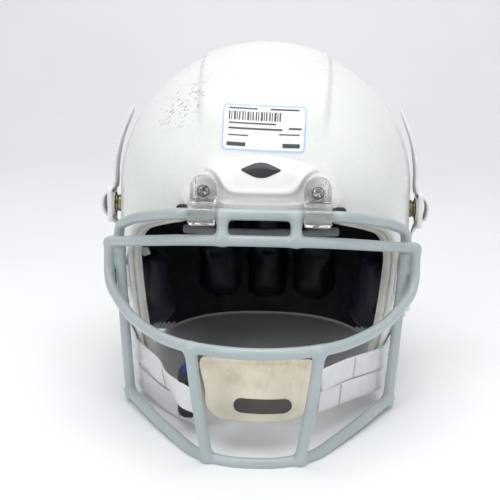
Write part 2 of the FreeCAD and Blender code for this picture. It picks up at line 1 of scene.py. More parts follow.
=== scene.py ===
"""The looks of a youth football helmet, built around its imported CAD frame.

Shapes are worked out in millimetres round the centre of the shell, as the CAD does: +X is the
viewer's right, -Y the face side and z = 0 the table.  solid() turns them into metres in the
row frame.  Left and right are the viewer's.
"""

import json
import math

import bmesh
import bpy
import numpy as np
from mathutils import Matrix, Vector


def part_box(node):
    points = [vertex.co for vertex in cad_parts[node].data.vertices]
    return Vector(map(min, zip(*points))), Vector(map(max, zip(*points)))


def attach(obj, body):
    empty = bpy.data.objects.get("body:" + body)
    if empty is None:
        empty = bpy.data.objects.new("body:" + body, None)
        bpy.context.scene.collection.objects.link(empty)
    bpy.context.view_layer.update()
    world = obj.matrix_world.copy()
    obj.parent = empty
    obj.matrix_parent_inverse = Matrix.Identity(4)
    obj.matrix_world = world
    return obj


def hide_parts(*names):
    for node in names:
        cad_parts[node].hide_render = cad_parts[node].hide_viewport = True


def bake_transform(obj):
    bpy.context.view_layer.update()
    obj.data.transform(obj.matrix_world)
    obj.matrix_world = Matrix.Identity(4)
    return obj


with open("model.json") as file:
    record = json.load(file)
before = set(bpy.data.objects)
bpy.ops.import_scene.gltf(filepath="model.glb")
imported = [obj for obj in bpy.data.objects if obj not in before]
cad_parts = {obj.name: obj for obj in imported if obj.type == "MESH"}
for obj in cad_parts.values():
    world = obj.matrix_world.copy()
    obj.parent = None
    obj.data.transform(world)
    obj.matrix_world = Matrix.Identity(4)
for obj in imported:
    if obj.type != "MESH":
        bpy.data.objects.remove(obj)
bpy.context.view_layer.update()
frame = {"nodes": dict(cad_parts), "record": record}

MM = 0.001
shell_low, shell_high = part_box("shell")
SHELL_Y = (shell_low.y + shell_high.y) / 2 / MM       # the shell's centre in the row frame
HALF_WIDTH, HALF_LENGTH = 108.0, 132.0                # the shell at its widest level
LEVEL, RISE = 142.0, 102.5                            # that level, and the crown above it
TAPER_WIDTH, TAPER_LENGTH = 14.5, 14.0                # what the walls lose down to the table
WALL = 4.0                                            # thickness of the shell
OPENING_EDGE, VENT_EDGE = 2.0, 1.2                    # room for the rolled edges of the shell
CLIMB = 118.0                                         # radius that turns a climb up the dome into an angle
TOP = LEVEL + CLIMB * math.pi / 2
WIRE_R, WELD_R = 3.5, 3.9                             # a dipped wire, and the lump at a weld
HINGE_Y, HINGE_Z = -145.0, 143.0                      # straight stretch of the upper brow wire
CLIP_X, CLIP_SCREW_Z, CLIP_SEAT = 35.3, 155.4, -134.5          # loop clips; y of their screws' seats
SIDE_CLIP_Z, SIDE_SCREW_Y, SIDE_SEAT = 86.0, -62.0, 103.4      # side clips; x of their screws' seats
ANCHOR_X, ANCHOR_Y = 98.4, -74.0                      # upright stretch of each anchor wire
SNAPS = {"high": (-30.0, 129.0), "low": (6.0, 50.0)}  # y and z of the snaps
SIDES = (("left", -1), ("right", 1))
PLATE = 3.6                                           # from the shell to the loop clips on the brow plate
STRAP_WIDTH, THREAD_R = 14.6, 0.24
FAR = 400.0                                           # well past every piece

# ---------------------------------------------------------------- outlines and fields


def unit(vector):
    return vector / np.linalg.norm(vector)


def rounded(points, reaches, closed):
    """Points along straight runs and tangent arcs; reaches is how far each arc cuts its corner."""
    points = [np.array(p, float) for p in points]
    out = []
    for index, point in enumerate(points):
        reach = reaches[index]
        if reach <= 0 or (not closed and index in (0, len(points) - 1)):
            out.append(point)
            continue
        before = unit(points[index - 1] - point)
        after = unit(points[(index + 1) % len(points)] - point)
        turn = math.pi - math.acos(float(np.clip(before @ after, -1, 1)))
        middle = point + (before + after) * reach / (1 + float(before @ after))
        start, end = point + before * reach - middle, point + after * reach - middle
        steps = max(2, math.ceil(math.degrees(turn) / 9))
        for k in range(steps + 1):
            share = k / steps
            out.append(middle + (start * math.sin((1 - share) * turn) + end * math.sin(share * turn))
                       / math.sin(turn))
    return np.array(out)


class Outline:
    """A closed outline with rounded corners, each a (u, v, radius)."""

    def __init__(self, corners):
        count = len(corners)
        flat = [np.array(c[:2], float) for c in corners]
        reaches = []
        for k, (_, _, radius) in enumerate(corners):
            before, after = unit(flat[k - 1] - flat[k]), unit(flat[(k + 1) % count] - flat[k])
            half = math.acos(float(np.clip(before @ after, -1, 1))) / 2
            reaches.append(radius / math.tan(half))
        self.points = rounded(flat, reaches, True)

    def depth(self, u, v):
        """Distance to the outline, above zero inside it."""
        nearest = np.full(np.shape(u), 1e9)
        inside = np.zeros(np.shape(u), bool)
        for (au, av), (bu, bv) in zip(self.points, np.roll(self.points, -1, axis=0)):
            du, dv = bu - au, bv - av
            length = du * du + dv * dv
            if length < 1e-12:
                continue
            along = np.clip(((u - au) * du + (v - av) * dv) / length, 0, 1)
            nearest = np.minimum(nearest, (u - au - along * du) ** 2 + (v - av - along * dv) ** 2)
            if av != bv:
                inside ^= ((av > v) != (bv > v)) & (u < du * (v - av) / dv + au)
        return np.where(inside, 1, -1) * np.sqrt(nearest)


def smooth_min(a, b, width):
    share = np.clip(0.5 + 0.5 * (b - a) / width, 0, 1)
    return b + (a - b) * share - width * share * (1 - share)


def smooth_max(a, b, width):
    return -smooth_min(-a, -b, width)


def ease(value, start, end):
    """0 before start, 1 after end, smooth in between."""
    share = np.clip((value - start) / (end - start), 0, 1)
    return share * share * (3 - 2 * share)


def hypot(*parts):
    return np.sqrt(sum(part * part for part in parts))


def slab(value, low, high):
    """Signed distance to the space between two levels, negative inside."""
    return np.maximum(low - value, value - high)


# ---------------------------------------------------------------- surfaces

def section(height):
    """Half width, half length and squareness of the shell's outline at a height."""
    drop = np.clip((LEVEL - height) / LEVEL, 0, 1)
    return (HALF_WIDTH - TAPER_WIDTH * drop ** 2.2, HALF_LENGTH - TAPER_LENGTH * drop ** 2.2,
            2.08 + 0.32 * np.minimum(1, drop * 3.5))


def shell_surface(turn, climb, offset):
    """The shell's surface moved outwards: turn goes round it, climb goes up it in mm."""
    a, b, square = section(climb)
    lean = np.clip(climb - LEVEL, 0, None) / CLIMB
    cosine, sine = np.cos(turn), np.sin(turn)
    reach = (np.abs(cosine / (a + offset)) ** square + np.abs(sine / (b + offset)) ** square) ** (-1 / square)
    reach = reach * np.cos(lean)
    level = np.where(climb < LEVEL, climb, LEVEL + (RISE + offset) * np.sin(lean))
    return np.stack([reach * cosine, reach * sine, level], -1)


def shell_height(x, y, z):
    """How far a place is outside the shell's surface."""
    a, b, square = section(z)
    lift = np.clip(z - LEVEL, 0, None) / RISE
    radial = (np.abs(x / a) ** square + np.abs(y / b) ** square) ** (1 / square)
    scale = np.sqrt(radial ** 2 + lift ** 2)
    flat = np.sqrt(x * x + y * y + np.clip(z - LEVEL, 0, None) ** 2)
    return flat * (1 - 1 / np.maximum(scale, 1e-6))


def shell_x(y, z, offset=0.0):
    """Half width of the shell at a place along it, at or below its widest level."""
    a, b, square = section(z)
    return (a + offset) * (1 - abs(y / (b + offset)) ** square) ** (1 / square)


def climb_of(z):
    return z if z < LEVEL else LEVEL + CLIMB * math.asin(min(1, (z - LEVEL) / RISE))


CUP_MIDDLE = np.array([0.0, -146.0, 38.0])            # the ellipsoid that the chin cup is cut from
CUP_AXES = np.array([41.0, 30.0, 36.0])


def cup_surface(turn, lift, offset):
    """The chin cup's ellipsoid moved outwards; turn and lift are angles."""
    way = np.stack([np.cos(lift) * np.cos(turn), np.cos(lift) * np.sin(turn), np.sin(lift)], -1)
    return CUP_MIDDLE + way * (CUP_AXES + np.asarray(offset)[..., None])


# ---------------------------------------------------------------- meshes

def solid(name, points, faces, look, body=None):
    """A smooth mesh object from points in mm and lists of point numbers, riding on a body."""
    mesh = bpy.data.meshes.new(name)
    moved = (np.asarray(points, float) + (0, SHELL_Y, 0)) * MM
    mesh.from_pydata(moved.tolist(), [], faces)
    work = bmesh.new()
    work.from_mesh(mesh)
    bmesh.ops.remove_doubles(work, verts=work.verts, dist=2e-6)
    bmesh.ops.recalc_face_normals(work, faces=work.faces)
    loose = [v for v in work.verts if not v.link_faces]
    bmesh.ops.delete(work, geom=loose, context="VERTS")
    work.to_mesh(mesh)
    work.free()
    mesh.shade_smooth()
    piece = bpy.data.objects.new(name, mesh)
    bpy.context.scene.collection.objects.link(piece)
    mesh.materials.append(MAT[look])
    if body:
        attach(piece, body)
    return piece


def stands_for(piece, slot, *nodes):
    """The piece takes the place of CAD nodes, which it hides; slot is not used."""
    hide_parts(*nodes)


def tube(rings, capped=True):
    """Points and faces of a tube through closed rings of points."""
    size = len(rings[0])
    faces = [[a, b, b + size, a + size] for row in range(len(rings) - 1)
             for a, b in ((row * size + k, row * size + (k + 1) % size) for k in range(size))]
    if capped:
        faces += [list(range(size)), [len(rings) * size - 1 - k for k in range(size)]]
    return [point for ring in rings for point in ring], faces


def patch(name, surface, us, vs, keep, outer, inner, bulge=None, **looks):
    """A skin between two offsets of a surface, where keep(x, y, z) is above zero.

    us and vs are the grid lines, outer may be a function of the place, and the rims are rounded.
    """
    u, v = (grid.ravel() for grid in np.meshgrid(us, vs, indexing="ij"))
    shape = (len(us), len(vs))

    def depth(u, v):
        place = surface(u, v, np.zeros_like(u))
        return keep(place[:, 0], place[:, 1], place[:, 2])

    values = depth(u, v)
    inside = values > 0
    number = np.arange(len(u)).reshape(shape)
    cells = (number[:-1, :-1], number[1:, :-1], number[1:, 1:], number[:-1, 1:])
    corners = np.stack(cells, -1).reshape(-1, 4)
    held = inside[corners].sum(1)
    faces = corners[held == 4].tolist()
    crossings, rims = {}, []
    for cell in corners[(held > 0) & (held < 4)].tolist():
        face, cuts = [], []
        for a, b in zip(cell, cell[1:] + cell[:1]):
            if inside[a]:
                face.append(a)
            if inside[a] != inside[b]:
                key = (a, b) if inside[a] else (b, a)
                point = crossings.setdefault(key, len(u) + len(crossings))
                face.append(point)
                cuts.append((point, inside[a]))
        faces.append(face)
        rims += [(point, cuts[(k + 1) % len(cuts)][0]) for k, (point, leaving) in enumerate(cuts) if leaving]
    if crossings:
        kept, lost = np.array(list(crossings)).T
        low, high = np.zeros(len(kept)), np.ones(len(kept))
        for _ in range(14):
            share = (low + high) / 2
            found = depth(u[kept] + share * (u[lost] - u[kept]), v[kept] + share * (v[lost] - v[kept])) > 0
            low, high = np.where(found, share, low), np.where(found, high, share)
        u = np.append(u, u[kept] + low * (u[lost] - u[kept]))
        v = np.append(v, v[kept] + low * (v[lost] - v[kept]))
    base = surface(u, v, np.zeros_like(u))
    height = outer(*base.T) if callable(outer) else np.full(len(u), float(outer))
    floor = inner(*base.T) if callable(inner) else np.full(len(u), float(inner))
    top, bottom = surface(u, v, height), surface(u, v, floor)
    total = len(u)
    points = [top, bottom]
    faces += [[p + total for p in reversed(face)] for face in list(faces)]
    if crossings:
        first = total - len(crossings)
        edge = base[first:]
        slope = np.stack([keep(*(edge + step).T) - keep(*(edge - step).T) for step in np.eye(3) * 0.05], -1)
        across = top[first:] - bottom[first:]
        thick = np.linalg.norm(across, axis=1, keepdims=True)
        normal = across / thick
        out = -slope + (slope * normal).sum(1, keepdims=True) * normal
        out /= np.linalg.norm(out, axis=1, keepdims=True)
        reach = thick / 2 if bulge is None else np.minimum(thick / 2, bulge)
        middle = (top[first:] + bottom[first:]) / 2
        rows = 7
        for row in range(1, rows):
            turn = math.pi * row / rows
            up = math.copysign(abs(math.cos(turn)) ** 0.7, math.cos(turn))
            points.append(middle + across / 2 * up + out * reach * math.sin(turn) ** 0.7)
        count = len(crossings)
        for a, b in rims:
            track = [[p] + [2 * total + row * count + p - first for row in range(rows - 1)] + [p + total]
                     for p in (a, b)]
            faces += [[track[1][k], track[0][k], track[0][k + 1], track[1][k + 1]] for k in range(rows)]
    return solid(name, np.concatenate(points), faces, **looks)


def net(name, field, low, high, step, **looks):
    """A closed mesh where field(x, y, z), a distance that is negative inside, is zero."""
    lines = [np.arange(a, b + step, step) for a, b in zip(low, high)]
    values = field(*np.meshgrid(*lines, indexing="ij"))
    return net_of(name, values, np.array(low, float), step, **looks)


def sample(values, places):
    """Values between grid points, linear along each axis."""
    base = np.clip(np.floor(places).astype(int), 0, np.array(values.shape) - 2)
    share = places - base
    total = 0
    for corner in np.ndindex(2, 2, 2):
        weight = np.prod(np.where(corner, share, 1 - share), axis=1)
        total = total + weight * values[tuple((base + corner).T)]
    return total


def net_of(name, values, low, step, **looks):
    inside = values < 0
    sums = np.zeros((*values.shape, 3))
    counts = np.zeros(values.shape, int)
    squares = []
    for axis in range(3):
        near = [slice(None)] * 3
        far = [slice(None)] * 3
        near[axis], far[axis] = slice(None, -1), slice(1, None)
        a, b = values[tuple(near)], values[tuple(far)]
        edges = np.argwhere(inside[tuple(near)] != inside[tuple(far)])
        at = tuple(edges.T)
        places = edges.astype(float)
        places[:, axis] += a[at] / (a[at] - b[at])
        first, second = (k for k in range(3) if k != axis)
        cells = []
        for one, two in ((0, 0), (1, 0), (1, 1), (0, 1)):
            cell = edges.copy()
            cell[:, first] -= one
            cell[:, second] -= two
            cells.append(cell)
            np.add.at(sums, tuple(cell.T), places)
            np.add.at(counts, tuple(cell.T), 1)
        squares.append(np.stack(cells, 1))
    used = counts > 0
    number = np.full(values.shape, -1)
    number[used] = np.arange(used.sum())
    places = sums[used] / counts[used][:, None]
    for _ in range(3):
        here = sample(values, places)
        slope = np.stack([sample(values, places + way) - sample(values, places - way)
                          for way in np.eye(3) * 0.5], -1)
        steep = np.maximum((slope ** 2).sum(1, keepdims=True), 1e-9)
        places -= np.clip(here[:, None] * slope / steep, -0.5, 0.5)
    faces = [number[tuple(square.transpose(2, 0, 1))] for square in squares]
    return solid(name, low + places * step, np.concatenate(faces).tolist(), **looks)


def joined(name, pieces):
    """One object from several, riding as the first one does."""
    with bpy.context.temp_override(active_object=pieces[0], object=pieces[0], selected_objects=pieces,
                                   selected_editable_objects=pieces):
        bpy.ops.object.join()
    pieces[0].name = name
    return pieces[0]


def lathe(name, profile, centre, side, **looks):
    """A turned piece whose axis is X: profile holds (distance outwards, radius) from foot to end."""
    turns = np.linspace(0, 2 * math.pi, 48, endpoint=False)
    rings = [[(centre[0] + side * along, centre[1] + radius * math.cos(t), centre[2] + radius * math.sin(t))
              for t in turns] for along, radius in profile]
    return solid(name, *tube(rings, capped=False), **looks)


# ---------------------------------------------------------------- materials

class Look:
    """A material in the making, its nodes worked out from the place on the piece in metres."""

    def __init__(self, name, **constants):
        self.material = bpy.data.materials.new(name)
        self.material.use_nodes = True
        self.tree = self.material.node_tree
        self.shader = self.tree.nodes["Principled BSDF"]
        for key, value in constants.items():
            self.shader.inputs[key.replace("_", " ")].default_value = value
        self.place = self.node("TexCoord").outputs["Object"]

    def node(self, kind, inputs=None, **settings):
        """A node with settings, whose inputs are values or other nodes' outputs."""
        made = self.tree.nodes.new("ShaderNode" + kind)
        for key, value in settings.items():
            setattr(made, key, value)
        for key, value in (inputs or {}).items():
            if isinstance(value, bpy.types.NodeSocket):
                self.tree.links.new(value, made.inputs[key])
            else:
                made.inputs[key].default_value = value
        return made

    def feed(self, socket, value):
        self.tree.links.new(value, self.shader.inputs[socket])

    def noise(self, scale, detail=3.0, roughness=0.55, place=None):
        place = self.place if place is None else place
        return self.node("TexNoise", {"Vector": place, "Scale": scale, "Detail": detail,
                                      "Roughness": roughness}).outputs["Fac"]

    def maths(self, operation, a, b=0.0):
        return self.node("Math", {0: a, 1: b}, operation=operation).outputs[0]

    def ramp(self, factor, *stops):
        """A colour between two stops, each a (place, colour)."""
        made = self.node("ValToRGB", {"Fac": factor})
        for element, (place, colour) in zip(made.color_ramp.elements, stops):
            element.position = place
            element.color = (*colour, 1)
        return made.outputs["Color"]

    def span(self, value, low, high, start=0.3, end=0.7):
        """A value between low and high as the given one goes from start to end."""
        return self.node("MapRange", {"Value": value, "From Min": start, "From Max": end, "To Min": low,
                                      "To Max": high}).outputs["Result"]

    def mixed(self, factor, colour, over):
        """A colour output that turns into another colour as the factor goes from 0 to 1."""
        return self.node("Mix", {"Factor": factor, 6: colour, 7: (*over, 1)}, data_type="RGBA").outputs[2]

    def relief(self, height, strength, distance):
        bump = self.node("Bump", {"Height": height, "Strength": strength, "Distance": distance})
        self.feed("Normal", bump.outputs["Normal"])


def plastic(name, dark, light, rough, grain=900.0, strength=0.05, patches=28.0, **constants):
    """A moulded or coated surface: slow colour changes, uneven gloss and a fine grain."""
    look = Look(name, **constants)
    look.feed("Base Color", look.ramp(look.noise(patches, 4.0), (0.35, dark), (0.65, light)))
    look.feed("Roughness", look.span(look.noise(patches * 2.3), rough * 0.8, rough * 1.25))
    look.relief(look.noise(grain, 2.0), strength, 0.0004)
    return look.material


def shell_paint():
    """White gloss over polycarbonate, yellowed a little, with rubbed black marks on the crown."""
    look = Look("shell_paint", IOR=1.5, Coat_Weight=0.25, Coat_Roughness=0.12)
    white = look.ramp(look.noise(14.0, 4.0), (0.3, (0.74, 0.76, 0.73)), (0.7, (0.80, 0.815, 0.785)))
    rubbed = Vector((-0.060, SHELL_Y * MM - 0.085, 0.212))
    away = look.node("VectorMath", {0: look.place, 1: rubbed}, operation="DISTANCE").outputs["Value"]
    streaks = look.node("Mapping", {"Vector": look.place, "Rotation": (0.3, 0.7, 0.5),
                                    "Scale": (1.0, 3.2, 1.4)})
    specks = look.span(look.noise(210.0, 5.0, 0.7, streaks.outputs["Vector"]), 0.0, 1.0, 0.585, 0.62)
    dabs = look.maths("MULTIPLY", specks, look.span(away, 1.0, 0.0, 0.016, 0.030))
    stray = look.node("TexVoronoi", {"Vector": look.place, "Scale": 46.0}).outputs["Distance"]
    soiled = look.mixed(look.span(stray, 0.55, 0.0, 0.018, 0.030), white, (0.16, 0.15, 0.14))
    look.feed("Base Color", look.mixed(dabs, soiled, (0.03, 0.03, 0.03)))
    look.feed("Roughness", look.span(look.noise(60.0, 4.0), 0.24, 0.36))
    look.relief(look.noise(420.0, 2.0), 0.04, 0.0005)
    return look.material


def webbing():
    """Woven polyester: the weave is laid out in mm along and across the strap."""
    look = Look("webbing", Roughness=0.72, Sheen_Weight=0.35, Sheen_Roughness=0.4)
    flat = look.node("TexCoord").outputs["UV"]
    split = look.node("SeparateXYZ", {"Vector": flat})
    ends, picks = (look.maths("SINE", look.maths("MULTIPLY", split.outputs[axis], 2 * math.pi * per_mm))
                   for axis, per_mm in (("X", 0.78), ("Y", 0.52)))
    weave = look.maths("ADD", look.maths("MULTIPLY", ends, picks), look.maths("MULTIPLY", ends, 0.35))
    soil = look.noise(0.09, 4.0, place=flat)
    shade = look.ramp(soil, (0.3, (0.74, 0.74, 0.75)), (0.65, (0.84, 0.84, 0.84)))
    # The weave's low places are mixed towards a darker grey: painted shade in the hollows of the weave
    deep = look.span(weave, 1.0, 0.0, -1.2, 0.6)
    look.feed("Base Color", look.mixed(deep, shade, (0.64, 0.64, 0.66)))
    look.relief(weave, 0.35, 0.0002)
    return look.material


def vinyl(name, dark, light, rough):
    """Vinyl over foam: a fine leather grain, with creases from wear."""
    look = Look(name, IOR=1.42, Coat_Weight=0.12, Coat_Roughness=0.25)
    look.feed("Base Color", look.ramp(look.noise(40.0, 4.0), (0.3, dark), (0.7, light)))
    cells = look.node("TexVoronoi", {"Vector": look.place, "Scale": 900.0}, feature="DISTANCE_TO_EDGE")
    creases = look.noise(130.0, 5.0)
    look.feed("Roughness", look.span(creases, rough * 0.8, rough * 1.3))
    look.relief(look.maths("ADD", cells.outputs["Distance"], creases), 0.35, 0.0005)
    return look.material


def cup_plastic():
    """A hard cup gone cream, with brown mottling that gathers towards its upper edge."""
    look = Look("cup_plastic", IOR=1.48, Coat_Weight=0.15, Coat_Roughness=0.25)
    base = look.ramp(look.noise(45.0, 5.0), (0.3, (0.66, 0.60, 0.47)), (0.7, (0.76, 0.71, 0.58)))
    height = look.node("SeparateXYZ", {"Vector": look.place}).outputs["Z"]
    blots = look.span(look.noise(75.0, 8.0, 0.72), 0.0, 0.65, 0.44, 0.70)
    stain = look.maths("MULTIPLY", blots, look.span(height, 0.0, 1.0, 0.030, 0.060))
    look.feed("Base Color", look.mixed(stain, base, (0.33, 0.24, 0.16)))
    look.feed("Roughness", look.span(look.noise(80.0), 0.33, 0.5))
    look.relief(look.noise(700.0), 0.08, 0.0004)
    return look.material


def guard_paint():
    """Vinyl dip over steel: satin grey, with a few nicks through to dark steel."""
    look = Look("guard_paint", IOR=1.5, Coat_Weight=0.4, Coat_Roughness=0.16)
    grey = look.ramp(look.noise(30.0, 4.0), (0.3, (0.36, 0.415, 0.42)), (0.7, (0.42, 0.475, 0.48)))
    nick = look.node("TexVoronoi", {"Vector": look.place, "Scale": 38.0}).outputs["Distance"]
    look.feed("Base Color", look.mixed(look.span(nick, 0.9, 0.0, 0.022, 0.034), grey, (0.07, 0.075, 0.08)))
    look.feed("Roughness", look.span(look.noise(90.0, 4.0), 0.28, 0.42))
    look.relief(look.noise(240.0), 0.10, 0.0006)
    return look.material


def metal(name, dark, light, rough):
    """Plated metal with tarnish in patches and a fine grain."""
    look = Look(name, Metallic=1.0)
    look.feed("Base Color", look.ramp(look.noise(220.0, 4.0), (0.35, dark), (0.65, light)))
    look.feed("Roughness", look.span(look.noise(400.0), rough * 0.7, rough * 1.4))
    look.relief(look.noise(1500.0), 0.12, 0.0002)
    return look.material


MAT = {
    "shell": shell_paint(),
    "plate": plastic("plate_plastic", (0.84, 0.84, 0.82), (0.89, 0.89, 0.87), 0.16, Coat_Weight=0.5,
                     Coat_Roughness=0.06, IOR=1.5),
    "edge": plastic("edge_plastic", (0.60, 0.575, 0.52), (0.74, 0.715, 0.66), 0.42, patches=60.0),
    "trim": plastic("trim_plastic", (0.76, 0.76, 0.74), (0.84, 0.84, 0.82), 0.34, IOR=1.5),
    "rubber": plastic("brow_rubber", (0.010, 0.010, 0.012), (0.022, 0.022, 0.024), 0.55, strength=0.2),
    "dark": plastic("badge_ink", (0.018, 0.020, 0.026), (0.034, 0.037, 0.044), 0.35),
    "paper": plastic("label_paper", (0.80, 0.81, 0.82), (0.86, 0.87, 0.88), 0.55, strength=0.15),
    "blue": plastic("label_blue", (0.40, 0.56, 0.86), (0.48, 0.63, 0.92), 0.5),
    "print": plastic("label_print", (0.05, 0.05, 0.05), (0.12, 0.12, 0.12), 0.6),
    "guard": guard_paint(),
    "clear": plastic("clear_plastic", (0.90, 0.90, 0.86), (0.97, 0.97, 0.94), 0.10, strength=0.12,
                     grain=260.0, Transmission_Weight=0.92, IOR=1.46),
    "steel": metal("screw_steel", (0.16, 0.16, 0.16), (0.42, 0.42, 0.42), 0.22),
    "brass": metal("snap_brass", (0.20, 0.15, 0.07), (0.55, 0.46, 0.28), 0.30),
    "nickel": metal("snap_nickel", (0.40, 0.39, 0.36), (0.66, 0.65, 0.61), 0.24),
    "webbing": webbing(),
    "thread": plastic("thread", (0.56, 0.46, 0.36), (0.70, 0.60, 0.50), 0.7),
    "vinyl": vinyl("pad_vinyl", (0.004, 0.007, 0.015), (0.010, 0.015, 0.028), 0.34),
    "seam": vinyl("pad_seam", (0.010, 0.013, 0.022), (0.022, 0.027, 0.040), 0.42),
    "grey": vinyl("pad_grey", (0.10, 0.11, 0.12), (0.16, 0.17, 0.18), 0.55),
    # near-black colour for the inside of the shell: painted shade for the dim interior
    "inside_shade": plastic("inside_painted_shade", (0.010, 0.013, 0.018), (0.022, 0.026, 0.033), 0.7, strength=0.25),
    "base": plastic("base_black", (0.012, 0.013, 0.016), (0.026, 0.028, 0.032), 0.4),
    "puck": plastic("puck_rubber", (0.015, 0.018, 0.022), (0.035, 0.040, 0.046), 0.5),
    "cup": cup_plastic(),
    "tab": plastic("foam_tab", (0.008, 0.035, 0.20), (0.016, 0.055, 0.28), 0.7, strength=0.3),
    "mark": plastic("cup_mark", (0.030, 0.026, 0.024), (0.075, 0.065, 0.058), 0.5),
    "foam": vinyl("cup_foam", (0.008, 0.012, 0.022), (0.018, 0.024, 0.040), 0.62),
}

# ---------------------------------------------------------------- shell

OPENING = Outline([
    (-266.0, 198.6, 0), (-80, 118.6, 26), (-80, 18, 20), (15, 18, 40), (74, 0, 40), (FAR, 0, 0),
    (FAR, -60, 0), (-266.0, -60, 0)])
EAR = Outline([(-9, 77.6, 15), (25, 77.6, 15), (25, 118.4, 15), (-9, 118.4, 15)])
VENTS = [Outline([(side * 36 - 15, z - 4.5, 4.4), (side * 36 + 15, z - 4.5, 4.4),
                  (side * 36 + 15, z + 4.5, 4.4), (side * 36 - 15, z + 4.5, 4.4)])
         for side in (-1, 1) for z in (150, 172)]


def shell_keep(x, y, z):
    """Distance into the shell from its nearest cut edge."""
    depth = np.minimum(-OPENING.depth(y, z), -EAR.depth(y, z)) - OPENING_EDGE
    for vent in VENTS:
        depth = np.minimum(depth, np.where(y > 40, -vent.depth(x, z), 99) - VENT_EDGE)
    return depth


def band_rise(x, y, z):
    """The raised crown band, which fades out above the brow and down the back."""
    half = 40.0 + 4.0 * ease(z, 188, 238)
    sides = 1 - ease(np.abs(x), half - 1.0, half + 1.4)
    ends = np.where(y < 0, ease(z, 184, 204), ease(z, 150, 186))
    return 2.3 * sides * ends


def build_shell():
    turns = np.linspace(-math.pi, math.pi, 331)
    rows = np.concatenate([np.linspace(-3, LEVEL, 68), np.linspace(LEVEL, TOP, 88)[1:]])
    piece = patch("shell_moulding", shell_surface, turns, rows, shell_keep, band_rise, -WALL,
                  body="shell", look="shell")
    piece.data.materials.append(MAT["inside_shade"])
    faces = piece.data.polygons
    centres = np.empty(len(faces) * 3)
    faces.foreach_get("center", centres)
    x, y, z = (centres.reshape(-1, 3) / MM - (0, SHELL_Y, 0)).T
    foot, rim = (np.where(y > 20, rear, jaw) for rear, jaw in ((4, 20), (3, 9)))     # bare plastic there
    # Inner faces above the foot and back from the cut edges take the near-black second material: painted
    # shade for the dim inside of the shell
    shade_painted = (shell_height(x, y, z) < -2.5) & (z > foot) & (shell_keep(x, y, z) > rim)
    faces.foreach_set("material_index", shade_painted.astype(np.int32))
    stands_for(piece, "shell_white", "shell")


# ---------------------------------------------------------------- trim on the shell

def front_turns(half_width, step):
    """Turns round the head that cover the front of the shell out to a half width."""
    reach = math.asin(min(1, half_width / HALF_WIDTH)) * 1.06
    return np.arange(-math.pi / 2 - reach, -math.pi / 2 + reach, step / HALF_LENGTH)


def climbs(low, high, step):
    return np.arange(climb_of(low), climb_of(high), step)


def seen_from_front(outline, side=-1):
    """A keep function for an outline in x and z, on the front (-1) or the rear (1) of the shell."""
    return lambda x, y, z: np.where(y * side > 0, outline.depth(x, z), -99)


PLATE_OUTLINE = Outline([(-50, 143.3, 8), (50, 143.3, 8), (50, 153, 12), (31, 171, 30), (0, 177.5, 60),
                         (-31, 171, 30), (-50, 153, 12)])


def plate_relief(x, y, z):
    """The brow plate: a raised field, humps round the clips, a groove between them and a lower lip."""
    hump = np.minimum(np.hypot(x - CLIP_X, z - CLIP_SCREW_Z), np.hypot(x + CLIP_X, z - CLIP_SCREW_Z)) - 11.0
    below = z - 152.6
    recess = -smooth_min(hump, below, 9.0)
    raised = 1 - ease(recess, -1.6, 0.4)
    rim = ease(PLATE_OUTLINE.depth(x, z), 0.0, 9.0) * 0.75 + 0.25
    between = 1 - ease(np.abs(x), 22, 27)
    groove = between * ease(z, 147.2, 149.6) * (1 - raised)
    lip = ease(z, 143.0, 144.6) * (1 - ease(z, 147.6, 149.4))
    crest = np.exp(-((recess + 2.4) / 1.5) ** 2) * 0.6
    return 3.1 * rim ** 0.5 + raised * (3.0 + crest) * rim - 1.9 * groove + lip * 0.9 * between


def build_plate():
    piece = patch("brow_plate_moulding", shell_surface, front_turns(52, 0.7), climbs(140, 181, 0.7),
                  seen_from_front(PLATE_OUTLINE), plate_relief, 0.0, bulge=0.5, body="shell",
                  look="plate")
    stands_for(piece, "trim_white", "brow_plate")
    seal = Outline([(-52.5, 138.6, 1.5), (52.5, 138.6, 1.5), (52.5, 143.4, 1.5), (-52.5, 143.4, 1.5)])
    piece = patch("brow_seal_strip", shell_surface, front_turns(56, 1.0), climbs(136, 146, 0.7),
                  seen_from_front(seal), 2.9, -WALL, bulge=0.8, body="shell", look="rubber")
    stands_for(piece, "brow_rubber", "brow_seal")
    lens = Outline([(-12.5, 167.4, 0.7), (0, 161.6, 13), (12.5, 167.4, 0.7), (0, 173.2, 13)])

    def lens_relief(x, y, z):
        return plate_relief(x, y, z) + 0.35 + 0.4 * ease(lens.depth(x, z), 0, 2.5)

    piece = patch("brow_badge_lens", shell_surface, front_turns(15, 0.5), climbs(159, 176, 0.5),
                  seen_from_front(lens), lens_relief, lambda x, y, z: plate_relief(x, y, z) - 0.2,
                  bulge=0.1, body="shell", look="dark")
    stands_for(piece, "badge_dark", "brow_badge")


LABEL = (-25.6, 27.4, 178.6, 205.4)                   # left, right, bottom and top of the price label
LABEL_TILT = math.radians(-1.6)


def on_label(x, z):
    """A place on the label in its own axes, from its lower left corner."""
    left, right, bottom, top = LABEL
    u, v = x - (left + right) / 2, z - (bottom + top) / 2
    return (u * math.cos(LABEL_TILT) + v * math.sin(LABEL_TILT) + (right - left) / 2,
            v * math.cos(LABEL_TILT) - u * math.sin(LABEL_TILT) + (top - bottom) / 2)


def label_part(name, outlines, lift, look, hollow=None):
    """A thin film on the crown, cut along outlines in the label's own axes."""
    def keep(x, y, z):
        u, v = on_label(x, z)
        depth = np.max([outline.depth(u, v) for outline in outlines], axis=0)
        if hollow:
            depth = np.minimum(depth, -hollow.depth(u, v))
        return np.where(y < 0, depth, -99)

    def top(x, y, z):
        return band_rise(x, y, z) + lift

    def foot(x, y, z):
        return band_rise(x, y, z) - 0.05

    return patch(name, shell_surface, front_turns(31, 0.55), climbs(175, 209, 0.55), keep, top, foot,
                 bulge=0.02, body="shell", look=look)


def rectangle(left, bottom, right, top, radius):
    return Outline([(u, v, radius) for u, v in ((left, bottom), (right, bottom), (right, top), (left, top))])


